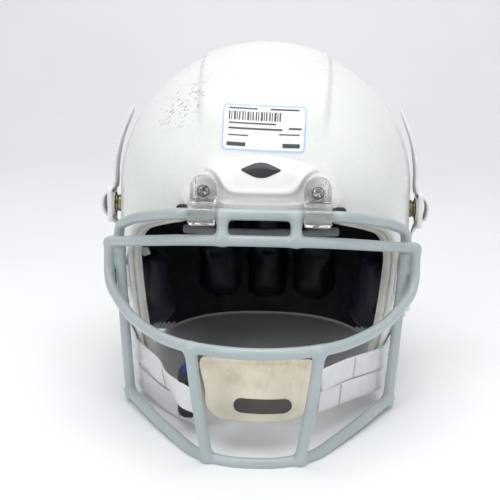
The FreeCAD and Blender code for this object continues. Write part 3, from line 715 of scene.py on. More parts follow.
def build_label():
    """A blank price label: a blue frame, a block of plain bars and plain grey rules."""
    wide, tall = LABEL[1] - LABEL[0], LABEL[3] - LABEL[2]
    piece = label_part("price_label_paper", [rectangle(0, 0, wide, tall, 3)], 0.20, "paper")
    stands_for(piece, "label_paper", "price_label")
    border = label_part("price_label_frame", [rectangle(0.3, 0.3, wide - 0.3, tall - 0.3, 2.8)], 0.26,
                        "blue", hollow=rectangle(1.3, 1.3, wide - 1.3, tall - 1.3, 2.0))
    bars, place = [], 4.2
    for width, gap in ((0.9, 0.7), (0.6, 1.0), (1.3, 0.6), (0.6, 0.7), (0.9, 1.1)) * 5:
        if place + width < 38:
            bars.append(rectangle(place, 17.6, place + width, 22.4, 0.05))
        place += width + gap
    rules = [rectangle(*rule, 0.3) for rule in (
        (4.2, 23.6, 22, 24.5), (30, 23.6, 48, 24.5), (4.2, 15.6, 34, 16.4), (4.2, 12.6, 38, 13.6),
        (42, 13.4, 50, 14.4), (4.2, 8.9, 17, 9.6), (36, 10.2, 49, 10.9), (3.6, 2.9, 15.5, 5.2),
        (38.6, 2.9, 49.4, 5.4))]
    label_part("price_label_print", bars + rules, 0.26, "print")


def build_bumper():
    """The rear bumper: a padded strip with a raised border, and one sunk line along its middle."""
    outline = Outline([(-46, 1.2, 3), (46, 1.2, 3), (46, 30, 10), (-46, 30, 10)])

    def height(x, y, z):
        depth = outline.depth(x, z)
        border = 0.7 * (1 - ease(depth, 2.2, 3.4))
        line = 0.7 * np.exp(-((z - 15.5) / 0.8) ** 2) * ease(depth, 4, 6)
        return 2.6 + border - line

    turns = np.arange(math.pi / 2 - 0.5, math.pi / 2 + 0.5, 0.009)
    piece = patch("rear_bumper_moulding", shell_surface, turns, climbs(0, 33, 1.0),
                  seen_from_front(outline, 1), height, 0.0, bulge=1.2, body="shell", look="trim")
    stands_for(piece, "trim_white", "rear_bumper")


EDGE_ROUTE = [(-113, 132.9), (-80, 118.6), (-80, 18), (10, 18)]      # y and z along the opening's edge


def build_opening_edge():
    """A stepped lip inside each edge of the face opening, from the brow pads down to the jaw."""
    path = rounded([np.array(p, float) for p in EDGE_ROUTE], [0, 13.2, 20, 0], False)
    lengths = np.append(0, np.cumsum(np.linalg.norm(np.diff(path, axis=0), axis=1)))
    marks = np.linspace(0, lengths[-1], 110)
    ys, zs = (np.interp(marks, lengths, path[:, k]) for k in (0, 1))
    run_y, run_z = np.gradient(ys), np.gradient(zs)
    size = np.hypot(run_y, run_z)
    back_y, back_z = -run_z / size, run_y / size          # away from the opening, into the shell
    profile = [(-3.6, 0.2), (-3.9, -0.6), (-5.3, -1.0), (-5.6, -0.5), (-7.3, -0.3), (-7.9, 0.5), (-7.9, 2.2),
               (-7.3, 3.0), (-4.2, 3.4), (-3.4, 3.0)]       # offset from the shell's face, and set-back
    for name, side in SIDES:
        rings = []
        for y, z, by, bz in zip(ys, zs, back_y, back_z):
            places = [(offset, y + by * back, z + bz * back) for offset, back in profile]
            rings.append([(side * shell_x(yy, zz, offset), yy, zz) for offset, yy, zz in places])
        piece = solid("opening_lip_" + name, *tube(rings), body="shell", look="edge")


# ---------------------------------------------------------------- faceguard

def mirrored(points, side):
    return [(side * x, y, z) for x, y, z in points]


def both_sides(points):
    return [(-x, y, z) for x, y, z in reversed(points) if x > 0] + points


LONG_WIRES = [
    [(48.2, HINGE_Y, HINGE_Z), (56.5, -140.6, 141.8), (68, -129.5, 138.5), (83, -110.5, 133),
     (96.2, -92.5, 124.5), (95.4, -93, 108)],
    [(40, -149, 127.6), (72, -126.5, 121.6), (102, -94.5, 113.6)],
    [(0, -211, 76), (46, -191, 74), (81, -139, 73.5), (102.4, -98.5, 86), (102.3, -94.8, 112)],
    [(14, -193.5, 3.5), (35, -183.5, 3.8), (63, -143, 6.5), (90.5, -96, 9)],
]
SIDE_WIRE = [(95.4, -93, 108), (93.4, -96.5, 79), (91, -100, 45), (88.2, -101, 8.2)]
BROW_STRUT = [(22.4, -146, HINGE_Z), (22.4, -149, 127.6)]
FRONT_STRUT = [(36.8, -194, 73), (33.4, -193.5, 42), (27.4, -189.5, 4.5)]
ANCHOR_WIRE = [(93.2, -97, 72), (ANCHOR_X, ANCHOR_Y, 72), (ANCHOR_X, ANCHOR_Y, 100), (95, -94, 100)]
WELDS = [(22.4, -146.6, 141.5), (22.4, -149, 129), (36.8, -194.5, 73), (27.6, -189.6, 5), (88.4, -100.4, 8.4),
         (96, -93.4, 109.6), (101.6, -95, 112.6)]


def wire_route(points, bend=None):
    """A wire's middle line: the arcs of the CAD's bent wires."""
    points = [np.array(p, float) for p in points]
    reaches = [0.0]
    for back, point, ahead in zip(points, points[1:], points[2:]):
        reach = 0.45 * min(np.linalg.norm(back - point), np.linalg.norm(ahead - point))
        if bend:
            angle = math.acos(float(unit(back - point) @ unit(ahead - point)))
            reach = min(reach, bend / math.tan(angle / 2))
        reaches.append(reach)
    return rounded(points, reaches + [0.0], False)


def build_faceguard():
    """One dipped steel frame: the wires melt into each other at their welds."""
    routes, blobs = [wire_route(both_sides(points)) for points in LONG_WIRES], []
    for _, side in SIDES:
        routes += [wire_route(mirrored(points, side)) for points in (SIDE_WIRE, BROW_STRUT, FRONT_STRUT)]
        routes.append(wire_route(mirrored(ANCHOR_WIRE, side), bend=7))
        blobs += mirrored(WELDS, side)
    step, melt, room = 0.95, 0.75, 7.0
    every = np.concatenate(routes)
    low, high = every.min(0) - room, every.max(0) + room
    lines = [np.arange(a, b, step) for a, b in zip(low, high)]
    total = np.zeros([len(line) for line in lines])

    def near(start, end):
        """Grid ranges round a run of wire, and the distance from it there."""
        ranges = []
        for k in range(3):
            first = int((min(start[k], end[k]) - room - low[k]) / step)
            last = int((max(start[k], end[k]) + room - low[k]) / step) + 1
            ranges.append(slice(max(first, 0), last))
        grids = np.meshgrid(*(lines[k][ranges[k]] for k in range(3)), indexing="ij")
        run = end - start
        along = np.clip(sum((grids[k] - start[k]) * run[k] for k in range(3)) / (run @ run), 0, 1)
        return tuple(ranges), hypot(*(grids[k] - start[k] - along * run[k] for k in range(3)))

    for route in routes:
        wire = np.full(total.shape, 99.0, np.float32)
        for start, end in zip(route, route[1:]):
            ranges, distance = near(start, end)
            wire[ranges] = np.minimum(wire[ranges], distance)
        total += np.exp(-(np.clip(wire, 0, 40) - WIRE_R) / melt)
    for blob in blobs:
        ranges, distance = near(np.array(blob), np.array(blob) + (0, 0, 0.01))
        total[ranges] += np.exp(-(distance - WELD_R) / melt)
    values = -melt * np.log(np.maximum(total, 1e-9))
    piece = net_of("faceguard_frame", values, low, step, body="faceguard", look="guard")
    stands_for(piece, "guard_coat", *frame["record"]["behaviour"]["bodies"]["faceguard"])


# ---------------------------------------------------------------- clips and screws

def rounded_box(parts, halves, radius):
    """Signed distance to a box with round edges, from distances to its middle."""
    over = [np.abs(part) - half + radius for part, half in zip(parts, halves)]
    outside = hypot(*(np.maximum(o, 0) for o in over))
    return outside + np.minimum(np.max(over, axis=0), 0) - radius


def build_loop_clips():
    """Clear moulded straps that wrap the brow wire and screw down on the brow plate."""
    for name, side in SIDES:
        middle = side * CLIP_X

        def field(x, y, z):
            u = (x - middle) * side
            loop = hypot(y - HINGE_Y, z - HINGE_Z) - 7.4
            flat = rounded_box((y + 131.5, z - 153.5), (4.6, 12.0), 3.0)
            neck = rounded_box((y + 137.5, z - 146.5), (5.0, 4.5), 2.5)
            body = smooth_min(smooth_min(loop, neck, 4.0), flat, 4.0)
            top = np.where(z > 157.2, hypot(u, z - 157.2), np.abs(u)) - 8.4
            body = smooth_max(body, top, 2.2)
            rib = rounded_box((u - 5.4, y + 136.6, z - 154), (1.0, 1.2, 9.0), 0.8)
            step = rounded_box((u, y + 146, z - 148.6), (8.2, 6.0, 0.9), 0.8)
            body = smooth_min(body, smooth_min(rib, step, 0.8), 1.2)
            boss = np.maximum(hypot(u, z - CLIP_SCREW_Z) - 5.8, slab(y, -136.9, -130))
            body = smooth_min(body, boss, 1.0)
            body = smooth_max(body, WIRE_R + 0.25 - hypot(y - HINGE_Y, z - HINGE_Z), 0.5)
            body = smooth_max(body, PLATE + 0.2 - shell_height(x, y, z), 0.4)
            seat = np.maximum(hypot(u, z - CLIP_SCREW_Z) - 4.7, y - CLIP_SEAT)
            return smooth_max(body, -seat, 0.6)

        piece = net("loop_clip_moulding_" + name, field, (middle - 10, -154, 133), (middle + 10, -122, 168.5),
                    0.5, body="shell", look="clear")
        stands_for(piece, "clear_plastic", "loop_clip_" + name)


def cross_head(name, seat, axis, turn):
    """A pan head screw with a cross recess and its shank; axis points into the work."""
    out = np.array(axis, float) * -1
    upright = np.array((0.0, 0.0, 1.0))
    first = upright * math.cos(turn) + np.cross(out, upright) * math.sin(turn)
    second = np.cross(out, first)

    def field(x, y, z):
        place = (x - seat[0], y - seat[1], z - seat[2])
        up, u, v = (sum(part * way for part, way in zip(place, ways)) for ways in (out, first, second))
        flat = hypot(u, v)
        dome = hypot(flat, up + 3.2) - 5.9
        head = smooth_max(smooth_max(flat - 4.0, dome, 0.7), -up, 0.4)
        depth = 0.9 - up + flat * 0.45
        cross = np.minimum(np.maximum(np.abs(u) - 2.6, np.abs(v) - 0.8),
                           np.maximum(np.abs(v) - 2.6, np.abs(u) - 0.8))
        head = smooth_max(head, -np.maximum(cross, depth), 0.25)
        shank = np.maximum(flat - 2.3, slab(up, -14.0, 0.5))
        return np.minimum(head, shank)

    reach = np.abs(out) * 15 + (1 - np.abs(out)) * 5
    low = seat - reach * np.where(out >= 0, 1, 0.25)
    high = seat + reach * np.where(out <= 0, 1, 0.25)
    return net(name, field, low, high, 0.3, body="shell", look="steel")


def build_screws():
    brow = [cross_head("brow_screw_" + name, (side * CLIP_X, CLIP_SEAT, CLIP_SCREW_Z), (0, 1, 0), 0.5 * side)
            for name, side in SIDES]
    flank = [cross_head("side_screw_" + name, (side * SIDE_SEAT, SIDE_SCREW_Y, SIDE_CLIP_Z), (-side, 0, 0),
                        0.4) for name, side in SIDES]
    for group, pieces in (("loop_clip_screws", brow), ("side_clip_screws", flank)):
        piece = joined(group + "_turned", pieces)
        stands_for(piece, "screw_steel", group)
    for name in ("loop_clip_nuts", "side_clip_nuts", "snap_stud_nuts"):
        looks = frame["nodes"][name].data.materials
        looks.clear()
        looks.append(MAT["nickel"])


def build_side_clips():
    """White blocks on the jaw flaps: a channel open to the front holds the anchor wire."""
    outline = Outline([(85, -79, 0.5), (105.4, -79, 2.0), (105.4, -68, 4), (102.2, -55, 4), (85, -52, 0.5)])
    for name, side in SIDES:
        def field(x, y, z):
            u = x * side
            body = smooth_max(-outline.depth(u, y), np.abs(z - SIDE_CLIP_Z) - 8.0, 2.0)
            body = smooth_max(body, 0.1 - shell_height(x, y, z), 0.5)
            channel = np.minimum(hypot(u - ANCHOR_X, y - ANCHOR_Y),
                                 np.where(y < ANCHOR_Y, np.abs(u - ANCHOR_X), 99))
            body = smooth_max(body, WIRE_R + 0.35 - channel, 0.8)
            lines = np.maximum(np.abs(np.abs(z - SIDE_CLIP_Z) - 5.6) - 0.5, 104.6 - u)
            seat = np.maximum(hypot(y - SIDE_SCREW_Y, z - SIDE_CLIP_Z) - 4.6, SIDE_SEAT - u)
            return smooth_max(smooth_max(body, -seat, 0.5), -lines, 0.4)

        low, high = sorted((side * 84, side * 107))
        piece = net("side_clip_moulding_" + name, field, (low, -81, 76), (high, -50, 96), 0.5,
                    body="shell", look="trim")
        stands_for(piece, "clip_white", "side_clip_" + name)


# ---------------------------------------------------------------- snaps

STUD = [(-2, 0), (-2, 6.0), (0.2, 6.3), (0.9, 6.3), (1.1, 6.0), (1.2, 5.2), (1.7, 5.0), (2.0, 5.6),
        (2.2, 6.2), (2.9, 6.3), (3.3, 6.1), (3.5, 5.2), (3.6, 3.6), (4.2, 3.4), (5.0, 3.9), (6.4, 4.1),
        (7.2, 3.6), (7.6, 2.0), (7.6, 0)]
SOCKET = [(3.9, 4.4), (3.9, 6.2), (4.1, 6.7), (4.6, 6.7), (4.9, 6.3), (5.1, 6.2), (5.5, 6.7), (6.4, 6.7),
          (7.2, 6.2), (8.4, 6.0), (8.8, 5.0), (8.8, 0)]
BUCKLE_FOOT = 4.5                                     # from the shell to the back of a buckle


def buckle_field(side, wall, snap_y, snap_z, upright):
    """A domed plastic buckle with two slots for the webbing, and a bar between them."""
    foot = wall + BUCKLE_FOOT

    def field(x, y, z):
        lift = x * side - foot
        along, across = (z - snap_z, y - snap_y) if upright else (y - snap_y, z - snap_z)
        plate = rounded_box((lift - 1.8, across, along), (1.8, 11.5, 13.5), 1.5)
        outline = rounded_box((across, along), (11.5, 13.5), 5.0)
        plate = smooth_max(plate, outline, 1.2)
        dome = hypot(across / 1.15, along / 1.05, (lift - 0.6) * 1.9) - 8.0
        body = smooth_min(plate, dome, 2.0)
        slots = rounded_box((across, np.abs(along) - 9.9), (STRAP_WIDTH / 2 + 0.4, 1.4), 1.2)
        body = smooth_max(body, -slots, 1.0)
        seat = np.maximum(hypot(across, along) - 6.9, lift - 3.3)
        return smooth_max(body, -seat, 0.5)

    return field


def build_snaps():
    studs = []
    for level, (snap_y, snap_z) in SNAPS.items():
        wall = shell_x(snap_y, snap_z)
        for name, side in SIDES:
            tag = f"{level}_{name}"
            centre = (side * wall, snap_y, snap_z)
            studs.append(lathe("stud_" + tag, STUD, centre, side, body="shell", look="brass"))
            socket = lathe("snap_socket_turned_" + tag, SOCKET, centre, side, body="snap_" + tag,
                           look="brass")
            stands_for(socket, "socket_metal", "snap_socket_" + tag)
            upright = level == "high"
            low, high = sorted((side * (wall + 3.5), side * (wall + 11)))
            half_y, half_z = (12.5, 14.5) if upright else (14.5, 12.5)
            buckle = net("snap_buckle_moulding_" + tag, buckle_field(side, wall, snap_y, snap_z, upright),
                         (low, snap_y - half_y, snap_z - half_z), (high, snap_y + half_y, snap_z + half_z),
                         0.5, body="snap_" + tag, look="trim")
            stands_for(buckle, "buckle_white", "snap_buckle_" + tag)
    piece = joined("snap_studs_turned", studs)
    stands_for(piece, "stud_metal", "snap_studs")


# ---------------------------------------------------------------- webbing

def on_shell(y, z, gap=2.0):
    """A strap station on the outside of the right jaw flap, and the way its face looks."""
    slope = (shell_x(y + 1, z) - shell_x(y - 1, z)) / 2
    flare = (shell_x(y, z + 1) - shell_x(y, z - 1)) / 2
    normal = unit(np.array((1.0, -slope, -flare)))
    return np.array((shell_x(y, z), y, z)) + normal * gap, normal


def smooth_line(points, step):
    """Evenly spaced points on a smooth line through the given ones."""
    points = np.array(points, float)
    padded = np.vstack([2 * points[0] - points[1], points, 2 * points[-1] - points[-2]])
    out = []
    for a, b, c, d in zip(padded, padded[1:], padded[2:], padded[3:]):
        for share in np.arange(0, 1, 0.05):
            out.append(0.5 * (2 * b + (c - a) * share + (2 * a - 5 * b + 4 * c - d) * share ** 2
                              + (3 * b - a - 3 * c + d) * share ** 3))
    out = np.array(out + [points[-1]])
    lengths = np.append(0, np.cumsum(np.linalg.norm(np.diff(out[:, :3], axis=0), axis=1)))
    marks = np.linspace(0, lengths[-1], max(3, round(lengths[-1] / step)))
    return np.stack([np.interp(marks, lengths, out[:, k]) for k in range(out.shape[1])], 1), marks


STRAP_SECTION = [(u * STRAP_WIDTH / 2, t) for u, t in (
    (-1, 0), (-0.985, 0.5), (-0.92, 0.8), (-0.66, 0.72), (-0.33, 0.8), (0, 0.76), (0.33, 0.8), (0.66, 0.72),
    (0.92, 0.8), (0.985, 0.5), (1, 0), (0.985, -0.5), (0.92, -0.8), (0.66, -0.72), (0.33, -0.8), (0, -0.76),
    (-0.33, -0.8), (-0.66, -0.72), (-0.92, -0.8), (-0.985, -0.5))]


def strap_frames(stations, side, step=1.5):
    """Middle points, directions across the strap, face directions and lengths along it."""
    rows = [np.concatenate([np.array(point, float), unit(np.array(face, float))]) for point, face in stations]
    line, marks = smooth_line(rows, step)
    line = line * np.array((side, 1, 1, side, 1, 1))
    middle, face = line[:, :3], line[:, 3:]
    run = np.gradient(middle, axis=0)
    run /= np.linalg.norm(run, axis=1, keepdims=True)
    across = np.cross(run, face)
    across /= np.linalg.norm(across, axis=1, keepdims=True)
    face = np.cross(across, run)
    return middle, run, across, face, marks


def ribbon(name, stations, side):
    """A woven strap through stations, each a point and the way its face looks, given on the right."""
    middle, _, across, face, marks = strap_frames(stations, side)
    rings = [[m + a * u + f * t for u, t in STRAP_SECTION] for m, a, f in zip(middle, across, face)]
    flat = [(u + (0.5 if t < 0 else 0), mark) for mark in marks for u, t in STRAP_SECTION]
    piece = solid(name, *tube(rings), look="webbing")
    layer = piece.data.uv_layers.new(name="UVMap")
    for loop in piece.data.loops:
        layer.data[loop.index].uv = flat[loop.vertex_index]
    return piece


OUTWARD = (1, 0, 0)
FACING = (0.6, -0.8, 0)                               # the way a strap looks halfway to the cup
JAW_FACING = (0.8, -0.6, 0)
CUP_FACING = (0.5, -0.86, 0)


def through_buckle(level, rise):
    """Stations up through a buckle's first slot, over its bar and down through the second."""
    snap_y, snap_z = SNAPS[level]
    foot = np.array((shell_x(snap_y, snap_z) + BUCKLE_FOOT, snap_y, snap_z))
    run = np.array((0, 0, 1) if level == "high" else (0, 1, 0))
    return [(foot + (lift, 0, 0) + run * along, np.array((out, 0, 0)) + run * tilt)
            for along, lift, out, tilt in ((-10.2, 1.6, 0.8, -0.6), (-6.5, rise - 1.6, 0.9, -0.3),
                                           (0, rise, 1, 0), (6.5, rise - 1.6, 0.9, 0.3),
                                           (10.2, 1.6, 0.8, 0.6))]


def high_stations(side):
    """The upper strap of the right side: from the cup, over the jaw flap and through its buckle."""
    cup = [((40.5, -155.1, 42), CUP_FACING), ((58, -128, 40), FACING), ((78, -100, 36.6), JAW_FACING),
           ((86.3, -86, 36), JAW_FACING)]
    if side < 0:
        cup = [((37.5, -158, 26), CUP_FACING), ((46.5, -150.5, 27.5), (0.5, -0.86, 0.15)),
               ((58, -131, 29), (0.66, -0.7, -0.28)), ((68, -112, 30.5), (0.72, -0.69, 0.1)),
               ((78, -97, 33), JAW_FACING), ((86.3, -86, 35.4), JAW_FACING)]
    flap = [on_shell(-74, 37.8), on_shell(-62, 45), on_shell(-50, 60), on_shell(-38, 86), on_shell(-31, 109)]
    snap_y, snap_z = SNAPS["high"]
    tail = [((shell_x(snap_y, snap_z) + 3.3, snap_y + 1, snap_z + 14.5), OUTWARD),
            ((109.2, -23, 160), OUTWARD), ((106.4, -13, 178), (0.95, 0, 0.3)),
            ((100.2, -3, 196), (0.9, 0, 0.45))]
    return cup, flap + through_buckle("high", 7.8) + tail


def low_stations(side):
    """The lower strap: from the cup, round the jaw corner and through its buckle."""
    cup = [((38.9, -153.1, 27), CUP_FACING), ((58.5, -127, 24.6), FACING), ((77.5, -99, 20.6), JAW_FACING),
           ((85.0, -86, 19.6), JAW_FACING)]
    if side < 0:
        cup = [((37, -150, 15), CUP_FACING), ((58, -122, 11), FACING), ((76, -99, 14), JAW_FACING),
               ((85.0, -86, 17), JAW_FACING)]
    flap = [on_shell(-73, 20.8), on_shell(-60, 25), on_shell(-44, 31), on_shell(-28, 38.5), on_shell(-12, 46)]
    snap_y, snap_z = SNAPS["low"]
    tail = [((shell_x(snap_y, snap_z) + 3.1, snap_y + 14.5, snap_z), OUTWARD), on_shell(34, 50, 2.4)]
    return cup, flap + through_buckle("low", 7.6) + tail


def stitch_row(name, stations, side, place, lean=1.1):
    """A zigzag row of thread across a strap, at a share of the way along it."""
    middle, run, across, face, marks = strap_frames(stations, side)
    at = int(place * (len(marks) - 1))
    middle, run, across, face = middle[at], run[at], across[at], face[at]
    spokes = np.linspace(0, 2 * math.pi, 6, endpoint=False)
    points, faces = [], []
    for k in range(15):
        zigzag = lean if k % 2 else -lean
        centre = middle + across * (k - 7) * 0.94 + run * zigzag * 0.4 + face * 0.95
        along = across * 0.66 + run * zigzag * 0.5
        stitch, sides = tube([[centre + along * way + (run * math.cos(t) + face * math.sin(t)) * THREAD_R
                               for t in spokes] for way in (-1, 1)])
        faces += [[len(points) + p for p in corners] for corners in sides]
        points += stitch
    return solid(name, points, faces, look="thread")


def in_row(point, side):
    """A place on the right side, given in mm, as a point of the row frame on the given side."""
    return (np.array(point) * (side, 1, 1) + (0, SHELL_Y, 0)) * MM


def build_straps():
    for name, side in SIDES:
        for level, stations in (("high", high_stations), ("low", low_stations)):
            cup, outside = stations(side)
            tag = f"{level}_{name}"
            jaw = outside[0][0]
            inner = ribbon(f"strap_{tag}_to_cup", cup + outside[:1], side)
            outer = ribbon(f"strap_{tag}_on_shell", outside, side)
            stitches = stitch_row("stitches_" + tag, cup + outside[:1], side,
                                  0.42 if level == "high" else 0.25)
            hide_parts("strap_" + tag)
            for piece in (inner, stitches):
                in_row(jaw, side)
                in_row(cup[0][0], side)
                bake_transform(piece)
            in_row(jaw, side)
            in_row(outside[4][0], side)
            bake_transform(outer)


# ---------------------------------------------------------------- pads and chin cup

PAD_BACK = -WALL - 0.3                                # a pad's back, just inside the shell's wall
FLANGE, SEAM = 3.4, 1.7                               # width and thickness of the flat seam round a pad
VOXEL, FRAMES = 0.005, 20                             # the pads' cloth runs


def pillow(depth, thick, shoulder):
    """Thickness of a pad at a depth in from its edge: a flat seam, then a full round shoulder."""
    share = np.clip((depth - FLANGE) / shoulder, 0, 1)
    return SEAM + (thick - SEAM) * np.sqrt(1 - (1 - share) ** 2)


def pad(name, node_name, back, thick, keep, turns, rows, look, channels=None):
    """A welded pad against the inside of the shell; channels gives the depth of its sunk lines."""
    shoulder = min(0.7 * thick, 13)

    def front(x, y, z):
        full = pillow(keep(x, y, z), thick, shoulder)
        if channels:
            full = SEAM + (full - SEAM) * (1 - channels(x, y, z))
        return back - full

    piece = patch(name, shell_surface, turns, rows, keep, back, front, bulge=0.5, body="shell",
                  look=look)
    stands_for(piece, "pad_grey" if look == "grey" else "pad_vinyl", node_name)
    return piece, keep, back


def seen_from_side(outline, side):
    return lambda x, y, z: np.where(x * side > 40, outline.depth(y, z), -99)


def side_turns(side, low_y, high_y, step):
    """Turns round the head that cover one side between two places along it."""
    turns = np.arange(math.asin(max(-0.98, low_y / 118)), math.asin(min(0.98, high_y / 118)), step / 100)
    return turns if side > 0 else math.pi - turns


def lines_of(*places, axis, width=2.2, deep=0.45):
    """Sunk sewn channels at places along an axis (0 is x, 2 is z)."""
    def sunk(x, y, z):
        value = (x, y, z)[axis]
        return np.max([deep * np.exp(-((value - place) / width) ** 2) for place in places], axis=0)
    return sunk


def build_pads():
    """The padding, each piece a vinyl pillow with a welded seam, blown up as cloth."""
    made = []
    outline = Outline([(-56, 133.6, 4), (56, 133.6, 4), (50, 172, 12), (-50, 172, 12)])
    made.append(pad("front_pad_cushion", "front_pad", PAD_BACK, 14.5, seen_from_front(outline),
                    front_turns(66, 1.6), climbs(128, 178, 1.6), "vinyl", lines_of(-19, 19, axis=0)))
    outline = Outline([(-56, 121.5, 5), (56, 121.5, 5), (57, 133.3, 2), (-57, 133.3, 2)])
    made.append(pad("front_pad_strip", "front_pad_band", PAD_BACK - 0.5, 11, seen_from_front(outline),
                    front_turns(66, 1.6), climbs(117, 138, 1.2), "grey"))
    turns = np.arange(math.pi / 2 - 0.75, math.pi / 2 + 0.75, 1.7 / 118)
    outline = Outline([(-21, 18, 14), (21, 18, 14), (21, 112, 8), (-21, 112, 8)])
    made.append(pad("rear_pad_centre_cushion", "rear_pad_centre", PAD_BACK, 18.5, seen_from_front(outline, 1),
                    turns, climbs(14, 116, 1.7), "vinyl", lines_of(66, axis=2)))
    for name, side in SIDES:
        corners = [(22.5, 18, 16), (66, 20, 20), (66, 112, 8), (22.5, 112, 8)]
        outline = Outline([(side * u, v, r) for u, v, r in corners])
        made.append(pad(f"rear_pad_{name}_cushion", f"rear_pad_{name}", PAD_BACK, 18.5,
                        seen_from_front(outline, 1), turns, climbs(14, 116, 1.7), "vinyl",
                        lines_of(66, axis=2)))
        outline = Outline([(-44, 123, 8), (52, 123, 8), (52, 166, 10), (-44, 166, 10)])
        made.append(pad(f"side_pad_{name}_cushion", f"side_pad_{name}", PAD_BACK, 13.5,
                        seen_from_side(outline, side), side_turns(side, -56, 64, 1.7), climbs(118, 172, 1.7),
                        "vinyl"))
        outline = Outline([(-73, 38, 14), (-30, 34, 14), (-24, 100, 16), (-70, 104, 14)])
        made.append(pad(f"jaw_pad_{name}_cushion", f"jaw_pad_{name}", PAD_BACK - 2.1, 29,
                        seen_from_side(outline, side), side_turns(side, -90, -10, 1.5), climbs(28, 110, 1.5),
                        "vinyl"))
        outline = Outline([(-76, 30, 10), (-30, 26, 10), (-24, 106, 12), (-74, 108, 12)])
        base = patch(f"jaw_pad_{name}_base", shell_surface, side_turns(side, -92, -8, 2.0),
                     climbs(22, 112, 2.0), seen_from_side(outline, side), PAD_BACK + 0.1, PAD_BACK - 1.9,
                     bulge=0.9, body="shell", look="base")
        stands_for(base, "base_black", f"jaw_pad_base_{name}")
    crown = Outline([(-48, -58, 30), (48, -58, 30), (48, 58, 30), (-48, 58, 30)])
    spokes = np.linspace(-math.pi, math.pi, 121)

    def crown_keep(x, y, z):
        return np.where(z > 180, crown.depth(x, y), -99)

    def crown_lines(x, y, z):
        return 0.5 * np.exp(-((np.abs(x) - 17) / 2.4) ** 2)

    made.append(pad("crown_pad_cushion", "crown_pad", PAD_BACK - 9.7, 11.5, crown_keep, spokes,
                    np.linspace(climb_of(190), TOP, 44), "vinyl", crown_lines))
    around = np.arange(6) * math.pi / 3
    pucks = [(0.0, 0.0), *zip(34 * np.cos(around), 42 * np.sin(around))]

    def puck_keep(x, y, z):
        far = np.min([np.hypot(x - px, y - py) for px, py in pucks], axis=0)
        return np.where(z > 180, 12.6 - far, -99)

    piece = patch("crown_pucks_moulded", shell_surface, np.linspace(-math.pi, math.pi, 181),
                  np.linspace(climb_of(190), TOP, 66), puck_keep, PAD_BACK + 0.1, PAD_BACK - 9.0, bulge=-1.6,
                  body="shell", look="puck")
    stands_for(piece, "puck_rubber", "crown_pucks")
    return made


def blow_up(made, pressure=4.0, cap=1.6):
    """Swell pads as cloth, all in one run: their backs stay put, and no point moves past the cap."""
    scene = bpy.context.scene
    rests = []
    for piece, _, back in made:
        piece.modifiers.new("even", "REMESH").voxel_size = VOXEL
        swap_mesh(piece)
        rest = places_of(piece)
        local = rest / MM - (0, SHELL_Y, 0)
        held = piece.vertex_groups.new(name="held")
        near = cup_height(*local.T) if back is None else shell_height(*local.T)
        limit = -3.4 if back is None else back - 1.4
        held.add(np.flatnonzero(near > limit).tolist(), 1.0, "REPLACE")
        cloth = piece.modifiers.new("cloth", "CLOTH")
        cloth.settings.quality = 5
        cloth.settings.vertex_group_mass = "held"
        cloth.settings.use_pressure = True
        cloth.settings.uniform_pressure_force = pressure
        cloth.settings.effector_weights.gravity = 0.0
        cloth.settings.shrink_min = -0.05
        cloth.settings.tension_stiffness = 12.0
        cloth.settings.bending_stiffness = 0.4
        cloth.point_cache.frame_start, cloth.point_cache.frame_end = 1, FRAMES
        rests.append(rest)
    for moment in range(1, FRAMES + 1):
        scene.frame_set(moment)
    for (piece, _, _), rest in zip(made, rests):
        swap_mesh(piece)
        moved = places_of(piece) - rest
        far = np.linalg.norm(moved, axis=1, keepdims=True)
        moved *= np.minimum(1, cap * MM / np.maximum(far, 1e-9))
        piece.data.vertices.foreach_set("co", (rest + moved).ravel().astype(np.float32))
        piece.vertex_groups.clear()
        piece.data.update()
    scene.frame_set(1)


def places_of(piece):
    flat = np.empty(len(piece.data.vertices) * 3, np.float32)
    piece.data.vertices.foreach_get("co", flat)
    return flat.reshape(-1, 3).astype(float)


def swap_mesh(piece):
    """Give a piece the mesh that its modifiers make of it, and take them off."""
    graph = bpy.context.evaluated_depsgraph_get()
    mesh = bpy.data.meshes.new_from_object(piece.evaluated_get(graph))
    piece.modifiers.clear()
    piece.data = mesh


def cup_height(x, y, z):
    """How far a place is outside the chin cup's ellipsoid, about."""
    parts = [(value - middle) / axis for value, middle, axis in zip((x, y, z), CUP_MIDDLE, CUP_AXES)]
    return (hypot(*parts) - 1) * 33.0


CUP_TURNS = np.linspace(-math.pi + 0.02, -0.02, 170)
CUP_LIFTS = np.linspace(-1.1, 1.1, 96)
FOAM_OUTLINE = Outline([(-37.5, 56, 8), (-18, 61, 40), (18, 61, 40), (37.5, 56, 8), (36, 16.5, 13),
                        (-36, 16.5, 13)])
CUP_OUTLINE = Outline([(-36.5, 54.5, 4), (-18, 59.5, 40), (18, 59.5, 40), (36.5, 54.5, 6), (33, 20.5, 13),
                       (-30.5, 20.5, 10), (-30.5, 40, 30)])


def in_front_of(outline, back_y):
    return lambda x, y, z: np.minimum(outline.depth(x, z), back_y - y)


